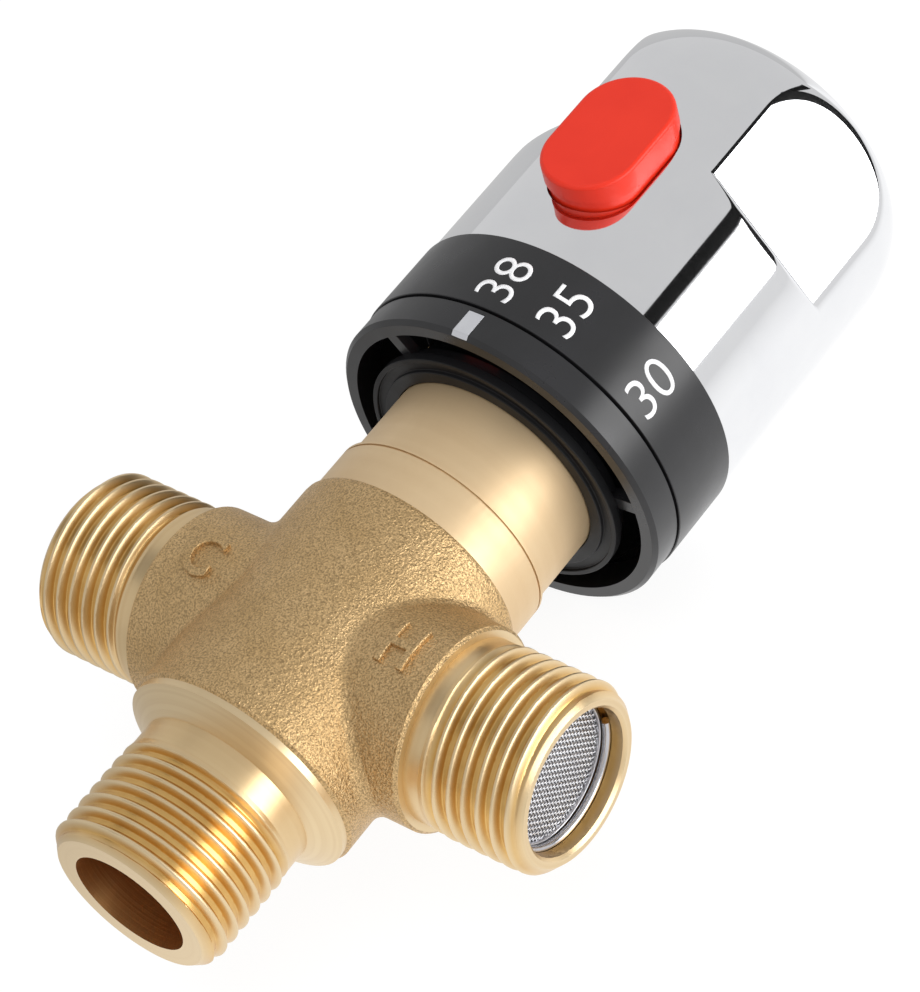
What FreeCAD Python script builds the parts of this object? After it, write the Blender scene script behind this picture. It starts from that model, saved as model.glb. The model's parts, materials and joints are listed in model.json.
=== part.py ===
import FreeCAD, Part
import os
from math import asin, cos, pi, radians, sin, sqrt, tan

from FreeCAD import Vector

# Thermostatic mixing valve, in millimetres.
# +X runs along the valve, from the mixed-water outlet to the end of the temperature knob.
# +Z points up through the red safety button. Hot water comes in from -Y and cold from +Y.
# The origin is the centre of the outlet's end face, where its washer seals.

# ---------------------------------------------------------------- driving dimensions
# Clearances
FIT = 0.04                     # pieces that seat in or on one another
RUN = 0.08                     # shafts and sliding fits
GAP = 0.3                      # moving faces that stay apart

# Pipe connections: G 1/2 parallel pipe thread, the same on all three ends
THREAD_R = 20.955 / 2          # major radius; the thread form itself is left to the finish
THREAD_CHAMFER = 1.35          # 45 degree lead-in at each end
RELIEF_DEPTH = 0.25            # plain turned length behind each thread
OUTLET_THREAD_L = 13.2
OUTLET_RELIEF_L = 2.9
INLET_THREAD_L = 12.4
INLET_RELIEF_L = 1.9
OUTLET_BORE_R = 6.8

# Cast brass body, lengths along the valve
INLET_X = 33.5                 # where the inlets' axis crosses the valve's axis
INLET_REACH = 32.5             # from the valve's axis to each inlet's end face
COLLAR_CONE_L = 1.7            # turned collar behind the outlet thread
COLLAR_L = 0.8
CAST_FRONT_L = 14.5            # from the inlets' axis to the end of the cast barrel
BAND_L = 5.8                   # turned band
NECK_L = 12.2
SPIGOT_L = 4.5                 # splined spigot that holds the stop ring
CHAMBER_BACK_L = 9.0           # from the inlets' axis back to the cartridge chamber's floor

# Cast brass body, radii and steps
BARREL_R = 13.8                # as cast
STUB_R = 11.4                  # as cast, round each inlet
STUB_BLEND = 1.6               # cast blend where each inlet meets the barrel
CAST_STEP = 0.35               # the cast skin stands this proud of the turned faces
CAST_ROUND = 0.8               # rounded edge of the cast barrel
BAND_STEP = 0.5
NECK_STEP = 0.65
SPIGOT_STEP = 1.25
SPIGOT_WALL = 1.8
SPLINE_TEETH = 12
SPLINE_DEPTH = 0.5
GALLERY_DEPTH = 1.6            # annular water galleries round the cartridge
GALLERY_L = 5.0
GALLERY_OFFSET = 3.9           # hot towards the outlet, cold towards the knob
PORT_R = 2.9                   # drilled way from each inlet to its gallery

# Inlet internals
INLET_BORE_R = 8.1
INLET_FLOOR_STEP = 1.7         # the bore stops this far outside the barrel
INLET_MOUTH_CHAMFER = 0.35
CLIP_WIRE_R = 0.55
CLIP_GROOVE_DEPTH = 0.5
CLIP_SETBACK = 2.3             # from the inlet's end face to the clip's wire centre
CLIP_GAP_DEG = 48.0
STRAINER_T = 0.35
STRAINER_RIM_L = 1.5
STRAINER_RIM_T = 0.7
CHECK_WALL = 2.0
CHECK_FLANGE_L = 1.4
CHECK_SEAT_LAP = 0.7           # the poppet covers its seat by this much
CHECK_SEAT_L = 1.8
CHECK_GUIDE_R = 2.4            # boss of the spider that guides the poppet's stem
CHECK_GUIDE_T = 1.4
POPPET_TRAVEL = 2.4
CHECK_LEGS = 3
CHECK_LEG_W = 1.4
CHECK_SPRING_R = 1.95
CHECK_WIRE_R = 0.3
CHECK_TURNS = 3
POPPET_FLOW_GAP = 0.92         # water passes round the poppet here
POPPET_T = 1.2
POPPET_STEM_R = 1.2
SEAL_CORD_R = 0.7              # every O-ring's cord
CORD_SIDES = 8                 # sides of the section of O-rings and clips
WIRE_SIDES = 4                 # sides of the section of spring wire

# Thermostatic cartridge
SLEEVE_L = 21.8
SLEEVE_WALL = 2.3
SLEEVE_LIP_H = 1.3
SLEEVE_LIP_L = 1.2
WINDOW_COUNT = 4
WINDOW_DEG = 56.0
WINDOW_L = 2.6
SHUTTLE_L = 6.2
SHUTTLE_WALL = 1.1
SHUTTLE_HUB_T = 1.0
SHUTTLE_WEB_T = 1.6
ELEMENT_R = 3.1
ELEMENT_NOSE_L = 3.2           # stands out of the shuttle towards the outlet
ELEMENT_HEAD_R = 4.7
ELEMENT_HEAD_L = 2.2
ELEMENT_NECK_L = 4.2
ELEMENT_PIN_R = 1.1
ELEMENT_PIN_L = 13.0
ELEMENT_PIN_PLAY = 1.2         # room for the pin to go deeper into the element
RETURN_WIRE_R = 0.45
RETURN_TURNS = 3
CUP_L = 9.9                    # pusher cup that carries the overload spring
CUP_NUT_L = 3.0
CUP_PLAY = 0.5
CUP_SIDE_T = 1.3
CUP_WALL = 1.2
CUP_FLAT_STEP = 0.8            # depth of the cup's two guide flats
CUP_THREAD_R = 3.6
OVERLOAD_WIRE_R = 0.5
OVERLOAD_R = 3.9
OVERLOAD_TURNS = 3
PISTON_T = 1.4                 # overload piston between the wax pin and its spring
PISTON_PLAY = 0.2

# Bonnet and spindle
BONNET_SKIRT_T = 2.8
BONNET_HEX_STEP = 0.8          # the hexagon's flats stand this proud of the spigot
BONNET_HEX_L = 3.2
BONNET_NOSE_WALL = 0.64        # round the bore that the cup slides in
BONNET_NOSE_L = 3.2
BONNET_WALL_T = 3.0            # end wall that the spindle turns in
BONNET_GUIDE_L = 19.0          # length of the flats that keep the cup from turning
SPINDLE_R = 3.3
SPINDLE_COLLAR_R = 5.6
SPINDLE_COLLAR_L = 1.6
SPINDLE_SPLINE_R = 4.0
SPINDLE_SPLINE_TEETH = 12
SPINDLE_SPLINE_DEPTH = 0.4
CIRCLIP_T = 0.8
CIRCLIP_DEPTH = 0.6
CIRCLIP_W = 1.5

# Stop ring and index ring, fixed to the body
STOP_COVER_L = 2.5             # length of neck that the stop ring covers
STOP_FLANGE_H = 3.35           # flange and hub heights above the neck
STOP_FLANGE_L = 1.3
STOP_LIP_H = 0.5
STOP_LIP_W = 0.6
STOP_HUB_H = 1.15
RING_SETBACK = 0.9             # from the stop ring's face to the index ring's
RING_STEP = 0.05               # the index ring stands this proud of the shell
RING_L = 4.05
RING_WALL = 1.9
RING_EDGE = 0.5
RING_RIBS = 3
RING_RIB_W = 1.6
RING_RIB_T = 1.2
RING_RIB_DEG = 35.0            # the first rib, from the button towards cold
RING_HUB_T = 1.5
MARK_W = 2.0                   # index mark let into the ring
MARK_DEPTH = 0.5
STOP_TOOTH_GAP = 0.12          # between the tooth and the leg of an unpressed button
STOP_TOOTH_DEG = 8.0

# Knob
KNOB_OVER_NECK = 7.9           # the knob stands this proud of the neck
SCALE_STEP = 0.25              # the scale ring stands this proud of the shell
SCALE_L = 9.65
SCALE_WALL = 1.6
SCALE_FLANGE_T = 1.6
SCALE_FLANGE_H = 5.2           # how far its flange reaches in from its wall
SHELL_WALL = 1.8
SHELL_STRAIGHT_L = 30.0
DOME_LENGTH = 9.7
DOME_ROUND = 6.0
FACET_DEPTH = 2.6
FACET_DEGS = (57.5, 180.0, -57.5)
FACET_START = 19.2             # from the shell's open end to where each flat starts
FACET_RAMP_L = 1.8
BOSS_R = 7.2
BOSS_BORE_R = 4.6
BOSS_FLOOR_T = 2.0
CAP_T = 1.6
CARRIER_DISC_T = 2.0
CARRIER_HUB_R = 6.4
CARRIER_HUB_L = 20.6
CARRIER_END_T = 2.2
CARRIER_PEGS = 3
CARRIER_PEG_R = 1.2
CARRIER_PAD_STEP = 1.2         # flat for the button's spring, above the hub
CARRIER_FIN_T = 1.6
SCREW_R = 2.0
SCREW_HEAD_R = 3.8
SCREW_HEAD_L = 2.4
SCREW_GRIP = 11.0

# Safety button
BUTTON_START = 15.0            # from the shell's open end to the button's centre
BUTTON_L = 17.6
BUTTON_W = 11.3
BUTTON_HEAD_T = 2.15
BUTTON_EDGE = 0.5
BUTTON_OVERHANG = 0.35
BUTTON_LIFT = 1.45             # head's underside above the shell
BUTTON_TRAVEL = 1.3
BUTTON_FLANGE = 1.0
BUTTON_DEPTH = 3.95            # how far it reaches in from the shell's wall
BUTTON_LEG_W = 5.0
BUTTON_LEG_T = 1.7
BUTTON_LEG_DROP = 1.45         # the leg's top below the shell's wall
BUTTON_SPRING_R = 3.0
BUTTON_WIRE_R = 0.35
BUTTON_SPRING_TURNS = 4
BUTTON_SOCKET = 2.0
BUTTON_POST_R = 2.2

# ---------------------------------------------------------------- sizes worked out
# Body
OUTLET_RELIEF_X = OUTLET_THREAD_L + OUTLET_RELIEF_L
COLLAR_X = OUTLET_RELIEF_X + COLLAR_CONE_L
COLLAR_R = BARREL_R - CAST_STEP
CAST_START_X = COLLAR_X + COLLAR_L
CAST_END_X = INLET_X + CAST_FRONT_L
BAND_R = BARREL_R - BAND_STEP
BAND_END_X = CAST_END_X + BAND_L
NECK_R = BAND_R - NECK_STEP
NECK_END_X = BAND_END_X + NECK_L
SPIGOT_R = NECK_R - SPIGOT_STEP
SPIGOT_END_X = NECK_END_X + SPIGOT_L
CHAMBER_R = SPIGOT_R - SPIGOT_WALL
CHAMBER_X0 = INLET_X - CHAMBER_BACK_L
GALLERY_R = CHAMBER_R + GALLERY_DEPTH
HOT_GALLERY_X = INLET_X - GALLERY_OFFSET
COLD_GALLERY_X = INLET_X + GALLERY_OFFSET

# Inlets, measured out from the valve's axis
INLET_FLOOR_U = BARREL_R + INLET_FLOOR_STEP
CLIP_U = INLET_REACH - CLIP_SETBACK
CLIP_RING_R = INLET_BORE_R + CLIP_GROOVE_DEPTH - CLIP_WIRE_R
STRAINER_U1 = CLIP_U - CLIP_WIRE_R
STRAINER_U0 = STRAINER_U1 - STRAINER_RIM_L
CHECK_R = INLET_BORE_R - RUN
CHECK_U0 = INLET_FLOOR_U
CHECK_U1 = STRAINER_U0
CHECK_SEAL_U = CHECK_U0 + CHECK_FLANGE_L + 1.2 + SEAL_CORD_R
POPPET_U1 = CHECK_U1 - CHECK_SEAT_L
POPPET_R = CHECK_R - CHECK_WALL - POPPET_FLOW_GAP
CHECK_SEAT_R = POPPET_R - CHECK_SEAT_LAP
GUIDE_U0 = CHECK_U0 + POPPET_TRAVEL + 2 * GAP
GUIDE_U1 = GUIDE_U0 + CHECK_GUIDE_T

# Cartridge
SLEEVE_X0 = CHAMBER_X0 + FIT
SLEEVE_X1 = SLEEVE_X0 + SLEEVE_L
SLEEVE_R = CHAMBER_R - RUN
SLEEVE_BORE_R = SLEEVE_R - SLEEVE_WALL
SLEEVE_LIP_R = SLEEVE_BORE_R - SLEEVE_LIP_H
SLEEVE_SEAL_REACH = GALLERY_OFFSET + GALLERY_L / 2 + 2 * SEAL_CORD_R
SLEEVE_SEAL_XS = (INLET_X - SLEEVE_SEAL_REACH, INLET_X, INLET_X + SLEEVE_SEAL_REACH)
SHUTTLE_X0 = INLET_X - SHUTTLE_L / 2
SHUTTLE_X1 = INLET_X + SHUTTLE_L / 2
RETURN_R = SLEEVE_BORE_R - SLEEVE_LIP_H / 2 - RETURN_WIRE_R
BONNET_X0 = SLEEVE_X1 + FIT
BONNET_PLUG_R = CHAMBER_R - FIT
BONNET_BORE_R = BONNET_PLUG_R - BONNET_SKIRT_T
BONNET_NOSE_R = BONNET_BORE_R + BONNET_NOSE_WALL
BONNET_X1 = SPIGOT_END_X + BONNET_HEX_L
BONNET_NOSE_X1 = BONNET_X1 + BONNET_NOSE_L
BONNET_WALL_X0 = BONNET_NOSE_X1 - BONNET_WALL_T
BONNET_SEAL_X = BONNET_X0 + 1.6 + SEAL_CORD_R
CUP_R = BONNET_BORE_R - CUP_PLAY
CUP_BORE_R = CUP_R - CUP_SIDE_T
CUP_FLAT = CUP_R - CUP_FLAT_STEP
CUP_X0 = SLEEVE_X1 + GAP
CUP_X1 = CUP_X0 + CUP_L
PISTON_X0 = CUP_X0 + CUP_WALL
PISTON_R = CUP_BORE_R - PISTON_PLAY

# Rings and knob
KNOB_R = NECK_R + KNOB_OVER_NECK
STOP_X0 = NECK_END_X - STOP_COVER_L
STOP_FLANGE_R = NECK_R + STOP_FLANGE_H
STOP_HUB_R = NECK_R + STOP_HUB_H
RING_R = KNOB_R + RING_STEP
RING_X0 = STOP_X0 + RING_SETBACK
RING_X1 = RING_X0 + RING_L
RING_HUB_R = STOP_HUB_R + RING_HUB_T
RING_BORE_R = RING_R - RING_WALL
RIB_X0 = RING_X0 + RING_EDGE
RIB_X1 = RIB_X0 + RING_RIB_T
SCALE_R = KNOB_R + SCALE_STEP
SCALE_X0 = RING_X1 + GAP
SCALE_X1 = SCALE_X0 + SCALE_L
SCALE_BORE_R = SCALE_R - SCALE_WALL
SCALE_FLANGE_R = SCALE_BORE_R - SCALE_FLANGE_H
SHELL_BORE_R = KNOB_R - SHELL_WALL
DOME_START_X = SCALE_X1 + SHELL_STRAIGHT_L
DOME_END_X = DOME_START_X + DOME_LENGTH
FACET_X = SCALE_X1 + FACET_START
FACET_H = KNOB_R - FACET_DEPTH
CARRIER_DISC_X1 = SCALE_X1 + CARRIER_DISC_T
CARRIER_HUB_X1 = SCALE_X1 + CARRIER_HUB_L
CARRIER_PAD_TOP = CARRIER_HUB_R + CARRIER_PAD_STEP
SPINDLE_END_X = CARRIER_HUB_X1 - CARRIER_END_T - 2 * GAP
BOSS_FLOOR_X = CARRIER_HUB_X1 + FIT

# Button, heights from the valve's axis
BUTTON_X = SCALE_X1 + BUTTON_START
HEAD_UNDER_R = KNOB_R + BUTTON_LIFT
BUTTON_TOP = HEAD_UNDER_R + BUTTON_HEAD_T
BUTTON_BASE = SHELL_BORE_R - BUTTON_DEPTH
BUTTON_NECK_L = BUTTON_L - 2 * BUTTON_OVERHANG
BUTTON_NECK_W = BUTTON_W - 2 * BUTTON_OVERHANG
LEG_TOP = SHELL_BORE_R - BUTTON_LEG_DROP
LEG_TIP_X = RIB_X1 + 2 * GAP

X_AXIS, Y_AXIS, Z_AXIS = Vector(1, 0, 0), Vector(0, 1, 0), Vector(0, 0, 1)
ORIGIN = Vector(0, 0, 0)
HOT, COLD = -1, 1


# ---------------------------------------------------------------- helpers
def turned(points):
    """A solid turned about X from (x, radius) points."""
    wire = Part.makePolygon([Vector(x, 0, r) for x, r in points + points[:1]])
    return Part.Face(wire).revolve(ORIGIN, X_AXIS, 360)


def tube(x0, x1, outer, inner=0.0):
    """A plain tube, or a rod when there is no inner radius, along X."""
    body = Part.makeCylinder(outer, x1 - x0, Vector(x0, 0, 0), X_AXIS)
    if inner:
        body = body.cut(Part.makeCylinder(inner, x1 - x0, Vector(x0, 0, 0), X_AXIS))
    return body


def around(shape, angle):
    """Turned about X by an angle from the button (+Z) towards cold (+Y)."""
    return shape.rotated(ORIGIN, X_AXIS, -angle)


def block(x0, x1, y0, y1, z0, z1):
    return Part.makeBox(x1 - x0, y1 - y0, z1 - z0, Vector(x0, y0, z0))


def at_inlet(shape, side):
    """Moves a piece made along +X from the valve's axis to the hot or cold inlet."""
    return shape.rotated(ORIGIN, Z_AXIS, 90 * side).translated(Vector(INLET_X, 0, 0))


def o_ring(x, groove_r):
    """An O-ring about X that sits on a groove floor of the given radius."""
    return cord_ring(x, groove_r + SEAL_CORD_R, SEAL_CORD_R - FIT / 2)


def cord_ring(x, radius, cord_r):
    """A ring of round cord or wire about X, its section drawn with flat sides."""
    angles = [radians(360 * (k + 0.5) / CORD_SIDES) for k in range(CORD_SIDES)]
    return turned([(x + cord_r * cos(a), radius + cord_r * sin(a)) for a in angles])


def seal_floor(bore_r):
    """Radius of the groove floor for an O-ring that seals in a bore."""
    return bore_r - 2 * SEAL_CORD_R


def o_ring_groove(x, groove_r):
    """The cutter for that O-ring's groove."""
    half = SEAL_CORD_R + RUN
    return tube(x - half, x + half, groove_r + 3 * SEAL_CORD_R, groove_r)


def coil(x0, x1, radius, wire_r, turns):
    """A compression spring about X, its wire ends ground into the end planes."""
    lift = (x1 - x0 - 2 * wire_r) / turns
    helix = Part.makeLongHelix(lift, lift * turns, radius)
    angles = [radians(360 * k / WIRE_SIDES) for k in range(WIRE_SIDES + 1)]
    section = Part.makePolygon([
        Vector(radius + wire_r * cos(a), 0, wire_r * sin(a)) for a in angles])
    spring = Part.Wire(helix.Edges).makePipeShell([section], True, True)
    return spring.rotated(ORIGIN, Y_AXIS, 90).translated(Vector(x0 + wire_r, 0, 0))


def spline_ring(x0, x1, outer_r, depth, teeth):
    """A splined rod about X."""
    pitch = 2 * pi / teeth
    points = []
    for k in range(teeth):
        root_r = outer_r - depth
        for share, r in ((-0.30, root_r), (-0.17, outer_r), (0.17, outer_r), (0.30, root_r)):
            angle = (k + share) * pitch
            points.append(Vector(x0, r * sin(angle), r * cos(angle)))
    return Part.Face(Part.makePolygon(points + points[:1])).extrude(Vector(x1 - x0, 0, 0))


def obround(length, width, z0, z1):
    """A straight-sided slot shape along X, centred on the button."""
    half = (length - width) / 2
    core = block(BUTTON_X - half, BUTTON_X + half, -width / 2, width / 2, z0, z1)
    ends = [
        Part.makeCylinder(width / 2, z1 - z0, Vector(BUTTON_X + s * half, 0, z0), Z_AXIS)
        for s in (-1, 1)
    ]
    return core.multiFuse(ends).removeSplitter()


# ---------------------------------------------------------------- body
def valve_body():
    barrel = turned([
        (0, 0), (0, THREAD_R - THREAD_CHAMFER), (THREAD_CHAMFER, THREAD_R),
        (OUTLET_THREAD_L, THREAD_R), (OUTLET_THREAD_L, THREAD_R - RELIEF_DEPTH),
        (OUTLET_RELIEF_X, THREAD_R - RELIEF_DEPTH), (COLLAR_X, COLLAR_R),
        (CAST_START_X, COLLAR_R), (CAST_START_X + CAST_STEP, BARREL_R),
        *shoulder(CAST_END_X, BARREL_R), (CAST_END_X, BAND_R), (BAND_END_X, BAND_R),
        (BAND_END_X, NECK_R), (NECK_END_X, NECK_R), (NECK_END_X, SPIGOT_R - SPLINE_DEPTH),
        (SPIGOT_END_X, SPIGOT_R - SPLINE_DEPTH), (SPIGOT_END_X, 0),
    ])
    barrel = barrel.fuse(spline_ring(
        NECK_END_X, SPIGOT_END_X, SPIGOT_R, SPLINE_DEPTH, SPLINE_TEETH))
    casting = barrel.multiFuse([inlet_stub(HOT), inlet_stub(COLD)]).removeSplitter()
    blend = [e for e in casting.Edges if meets_barrel(e)]
    casting = casting.makeFillet(STUB_BLEND, blend)
    return casting.cut(body_bores())


def shoulder(x, r):
    """The cast barrel's edge, rounded over CAST_ROUND as it drops to the turned band."""
    drop = 0.8 * (BARREL_R - BAND_R)
    turns = [radians(30 * k) for k in range(4)]
    return [(x - CAST_ROUND * (1 - sin(a)), r - drop * (1 - cos(a))) for a in turns]


def inlet_stub(side):
    cast_end = INLET_REACH - INLET_THREAD_L - INLET_RELIEF_L
    relief_r = THREAD_R - RELIEF_DEPTH
    stub = turned([
        (0, 0), (0, STUB_R), (cast_end - CAST_STEP, STUB_R), (cast_end, STUB_R - CAST_STEP),
        (INLET_REACH - INLET_THREAD_L - RELIEF_DEPTH, relief_r),
        (INLET_REACH - INLET_THREAD_L, THREAD_R),
        (INLET_REACH - THREAD_CHAMFER, THREAD_R),
        (INLET_REACH, THREAD_R - THREAD_CHAMFER), (INLET_REACH, 0),
    ])
    return at_inlet(stub, side)


def meets_barrel(edge):
    """The saddle edges where an inlet stub runs into the barrel."""
    if isinstance(edge.Curve, (Part.Circle, Part.Line)):
        return False
    box = edge.BoundBox
    return box.XMin > CAST_START_X and box.XMax < CAST_END_X and box.YLength < STUB_R


def body_bores():
    lead = 1.0
    bore = tube(-1, CHAMBER_X0, OUTLET_BORE_R)
    chamber = turned([
        (CHAMBER_X0, 0), (CHAMBER_X0, CHAMBER_R), (SPIGOT_END_X - lead, CHAMBER_R),
        (SPIGOT_END_X, CHAMBER_R + lead / 2), (SPIGOT_END_X + 1, CHAMBER_R + lead / 2),
        (SPIGOT_END_X + 1, 0),
    ])
    cutters = [bore, chamber]
    for x in (HOT_GALLERY_X, COLD_GALLERY_X):
        cutters.append(tube(x - GALLERY_L / 2, x + GALLERY_L / 2, GALLERY_R))
    for side, x in ((HOT, HOT_GALLERY_X), (COLD, COLD_GALLERY_X)):
        cutters.append(Part.makeCylinder(
            PORT_R, INLET_FLOOR_U + 1, Vector(x, 0, 0), Vector(0, side, 0)))
        cutters.append(at_inlet(inlet_bore(), side))
    return cutters[0].multiFuse(cutters[1:])


def inlet_bore():
    groove_r = INLET_BORE_R + CLIP_GROOVE_DEPTH
    half = CLIP_WIRE_R
    edge = INLET_MOUTH_CHAMFER
    return turned([
        (INLET_FLOOR_U, 0), (INLET_FLOOR_U, INLET_BORE_R),
        (CLIP_U - half, INLET_BORE_R), (CLIP_U - half, groove_r),
        (CLIP_U + half, groove_r), (CLIP_U + half, INLET_BORE_R),
        (INLET_REACH - edge, INLET_BORE_R), (INLET_REACH, INLET_BORE_R + edge),
        (INLET_REACH + 1, INLET_BORE_R + edge), (INLET_REACH + 1, 0),
    ])


# ---------------------------------------------------------------- inlet pieces
def strainer(side):
    """A disc of woven mesh pressed into a rim."""
    outer = CHECK_R
    rim = tube(STRAINER_U0, STRAINER_U1, outer, outer - STRAINER_RIM_T)
    mesh_u1 = STRAINER_U1 - STRAINER_RIM_T
    mesh = tube(mesh_u1 - STRAINER_T, mesh_u1, outer)
    return at_inlet(rim.fuse(mesh).removeSplitter(), side)


def retaining_clip(side):
    """A round-wire snap ring with a gap, sprung into its groove."""
    ring = cord_ring(CLIP_U, CLIP_RING_R, CLIP_WIRE_R - FIT)
    half = radians(CLIP_GAP_DEG / 2)
    reach = 2 * INLET_BORE_R
    wedge = Part.Face(Part.makePolygon([
        Vector(CLIP_U - 1, 0, 0),
        Vector(CLIP_U - 1, -reach * sin(half), reach * cos(half)),
        Vector(CLIP_U - 1, reach * sin(half), reach * cos(half)),
        Vector(CLIP_U - 1, 0, 0),
    ])).extrude(Vector(2, 0, 0))
    return at_inlet(ring.cut(wedge), side)


def check_housing(side):
    """Drop-in check valve: seat at the water side, spider with the stem guide behind."""
    outer = CHECK_R
    bore = outer - CHECK_WALL
    shell = turned([
        (CHECK_U0, bore), (CHECK_U0, outer), (CHECK_U1, outer), (CHECK_U1, CHECK_SEAT_R + 0.8),
        (CHECK_U1 - 0.8, CHECK_SEAT_R), (POPPET_U1, CHECK_SEAT_R), (POPPET_U1, bore),
    ])
    boss = tube(GUIDE_U0, GUIDE_U1, CHECK_GUIDE_R)
    legs = [
        around(block(GUIDE_U0, GUIDE_U1, -CHECK_LEG_W / 2, CHECK_LEG_W / 2, 0, bore + 0.2),
               k * 360 / CHECK_LEGS)
        for k in range(CHECK_LEGS)
    ]
    hole = tube(GUIDE_U0 - 1, GUIDE_U1 + 1, POPPET_STEM_R + RUN)
    housing = shell.multiFuse([boss] + legs).cut(hole)
    housing = housing.cut(o_ring_groove(CHECK_SEAL_U, seal_floor(INLET_BORE_R)))
    return at_inlet(housing.removeSplitter(), side)


def check_seal(side):
    return at_inlet(o_ring(CHECK_SEAL_U, seal_floor(INLET_BORE_R)), side)


def check_poppet(side):
    disc_u1 = POPPET_U1 - FIT
    disc_u0 = disc_u1 - POPPET_T
    poppet = turned([
        (GUIDE_U0 - GAP, 0), (GUIDE_U0 - GAP, POPPET_STEM_R), (disc_u0, POPPET_STEM_R),
        (disc_u0, POPPET_R), (disc_u1, POPPET_R), (disc_u1, CHECK_SEAT_R - GAP),
        (disc_u1 + 0.9, POPPET_STEM_R), (disc_u1 + 1.2, 0),
    ])
    return at_inlet(poppet, side)


def check_spring(side):
    disc_u0 = POPPET_U1 - FIT - POPPET_T
    return at_inlet(coil(GUIDE_U1, disc_u0, CHECK_SPRING_R, CHECK_WIRE_R, CHECK_TURNS), side)


# ---------------------------------------------------------------- cartridge
def sleeve():
    """Cartridge liner with a row of windows to each gallery and three O-rings."""
    liner = turned([
        (SLEEVE_X0, SLEEVE_LIP_R), (SLEEVE_X0, SLEEVE_R), (SLEEVE_X1, SLEEVE_R),
        (SLEEVE_X1, SLEEVE_BORE_R), (SLEEVE_X0 + SLEEVE_LIP_L, SLEEVE_BORE_R),
        (SLEEVE_X0 + SLEEVE_LIP_L, SLEEVE_LIP_R),
    ])
    for x in (HOT_GALLERY_X, COLD_GALLERY_X):
        liner = liner.cut(windows(x))
    for x in SLEEVE_SEAL_XS:
        liner = liner.cut(o_ring_groove(x, seal_floor(CHAMBER_R)))
    return liner


def windows(x):
    half = tan(radians(WINDOW_DEG / 2))
    cutter = Part.Face(Part.makePolygon([
        Vector(x - WINDOW_L / 2, -half * SLEEVE_BORE_R * 0.8, SLEEVE_BORE_R * 0.8),
        Vector(x - WINDOW_L / 2, -half * (SLEEVE_R + 1), SLEEVE_R + 1),
        Vector(x - WINDOW_L / 2, half * (SLEEVE_R + 1), SLEEVE_R + 1),
        Vector(x - WINDOW_L / 2, half * SLEEVE_BORE_R * 0.8, SLEEVE_BORE_R * 0.8),
        Vector(x - WINDOW_L / 2, -half * SLEEVE_BORE_R * 0.8, SLEEVE_BORE_R * 0.8),
    ])).extrude(Vector(WINDOW_L, 0, 0))
    ring = [around(cutter, k * 360 / WINDOW_COUNT) for k in range(WINDOW_COUNT)]
    return ring[0].multiFuse(ring[1:])


def sleeve_seal(index):
    return o_ring(SLEEVE_SEAL_XS[index], seal_floor(CHAMBER_R))


def shuttle():
    """Spool between the hot and cold seats, carried by its webs on the wax element."""
    outer = SLEEVE_BORE_R - RUN
    rim = tube(SHUTTLE_X0, SHUTTLE_X1, outer, outer - SHUTTLE_WALL)
    hub_r = ELEMENT_R + FIT + SHUTTLE_HUB_T
    hub = tube(SHUTTLE_X0, SHUTTLE_X1, hub_r, ELEMENT_R + FIT)
    mid = INLET_X
    webs = [
        around(block(mid - SHUTTLE_WEB_T, mid + SHUTTLE_WEB_T, -SHUTTLE_WEB_T / 2, SHUTTLE_WEB_T / 2,
                     hub_r - 0.3, outer - SHUTTLE_WALL + 0.3), 90 * k)
        for k in range(4)
    ]
    return rim.multiFuse([hub] + webs).removeSplitter()


def wax_element():
    nose = 1.0
    nose_x = SHUTTLE_X0 - ELEMENT_NOSE_L
    head_x = SHUTTLE_X1
    neck_x = head_x + ELEMENT_HEAD_L
    neck_r = ELEMENT_R - 0.6
    mouth_x = neck_x + ELEMENT_NECK_L
    floor_x = PISTON_X0 - ELEMENT_PIN_L - ELEMENT_PIN_PLAY
    bore_r = ELEMENT_PIN_R + RUN
    return turned([
        (nose_x, 0), (nose_x, ELEMENT_R - nose), (nose_x + nose, ELEMENT_R),
        (head_x, ELEMENT_R), (head_x, ELEMENT_HEAD_R), (neck_x, ELEMENT_HEAD_R),
        (neck_x + 1.2, neck_r), (mouth_x, neck_r), (mouth_x, bore_r),
        (floor_x, bore_r), (floor_x, 0),
    ])


def element_pin():
    """Steel pin that the wax pushes out of the element against the overload piston."""
    tip = 0.3
    x0 = PISTON_X0 - ELEMENT_PIN_L
    return turned([
        (x0, 0), (x0, ELEMENT_PIN_R - tip), (x0 + tip, ELEMENT_PIN_R),
        (PISTON_X0 - tip, ELEMENT_PIN_R), (PISTON_X0, ELEMENT_PIN_R - tip), (PISTON_X0, 0),
    ])


def return_spring():
    return coil(SLEEVE_X0 + SLEEVE_LIP_L, SHUTTLE_X0, RETURN_R, RETURN_WIRE_R, RETURN_TURNS)


def overload_piston():
    return tube(PISTON_X0, PISTON_X0 + PISTON_T, PISTON_R)


def overload_spring():
    return coil(PISTON_X0 + PISTON_T, CUP_X1 - CUP_WALL - GAP, OVERLOAD_R,
                OVERLOAD_WIRE_R, OVERLOAD_TURNS)


def pusher_cup():
    """Cup that rides on the spindle's thread and cannot turn, so it only slides."""
    nut_x1 = CUP_X1 + CUP_NUT_L
    outer = turned([
        (CUP_X0, ELEMENT_PIN_R + GAP), (CUP_X0, CUP_R), (nut_x1, CUP_R),
        (nut_x1, CUP_THREAD_R), (CUP_X1 - CUP_WALL, CUP_THREAD_R),
        (CUP_X1 - CUP_WALL, CUP_BORE_R), (PISTON_X0, CUP_BORE_R),
        (PISTON_X0, ELEMENT_PIN_R + GAP),
    ])
    flats = block(CUP_X0 - 1, nut_x1 + 1, -CUP_FLAT, CUP_FLAT, -CUP_R - 1, CUP_R + 1)
    return outer.common(flats)


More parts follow.
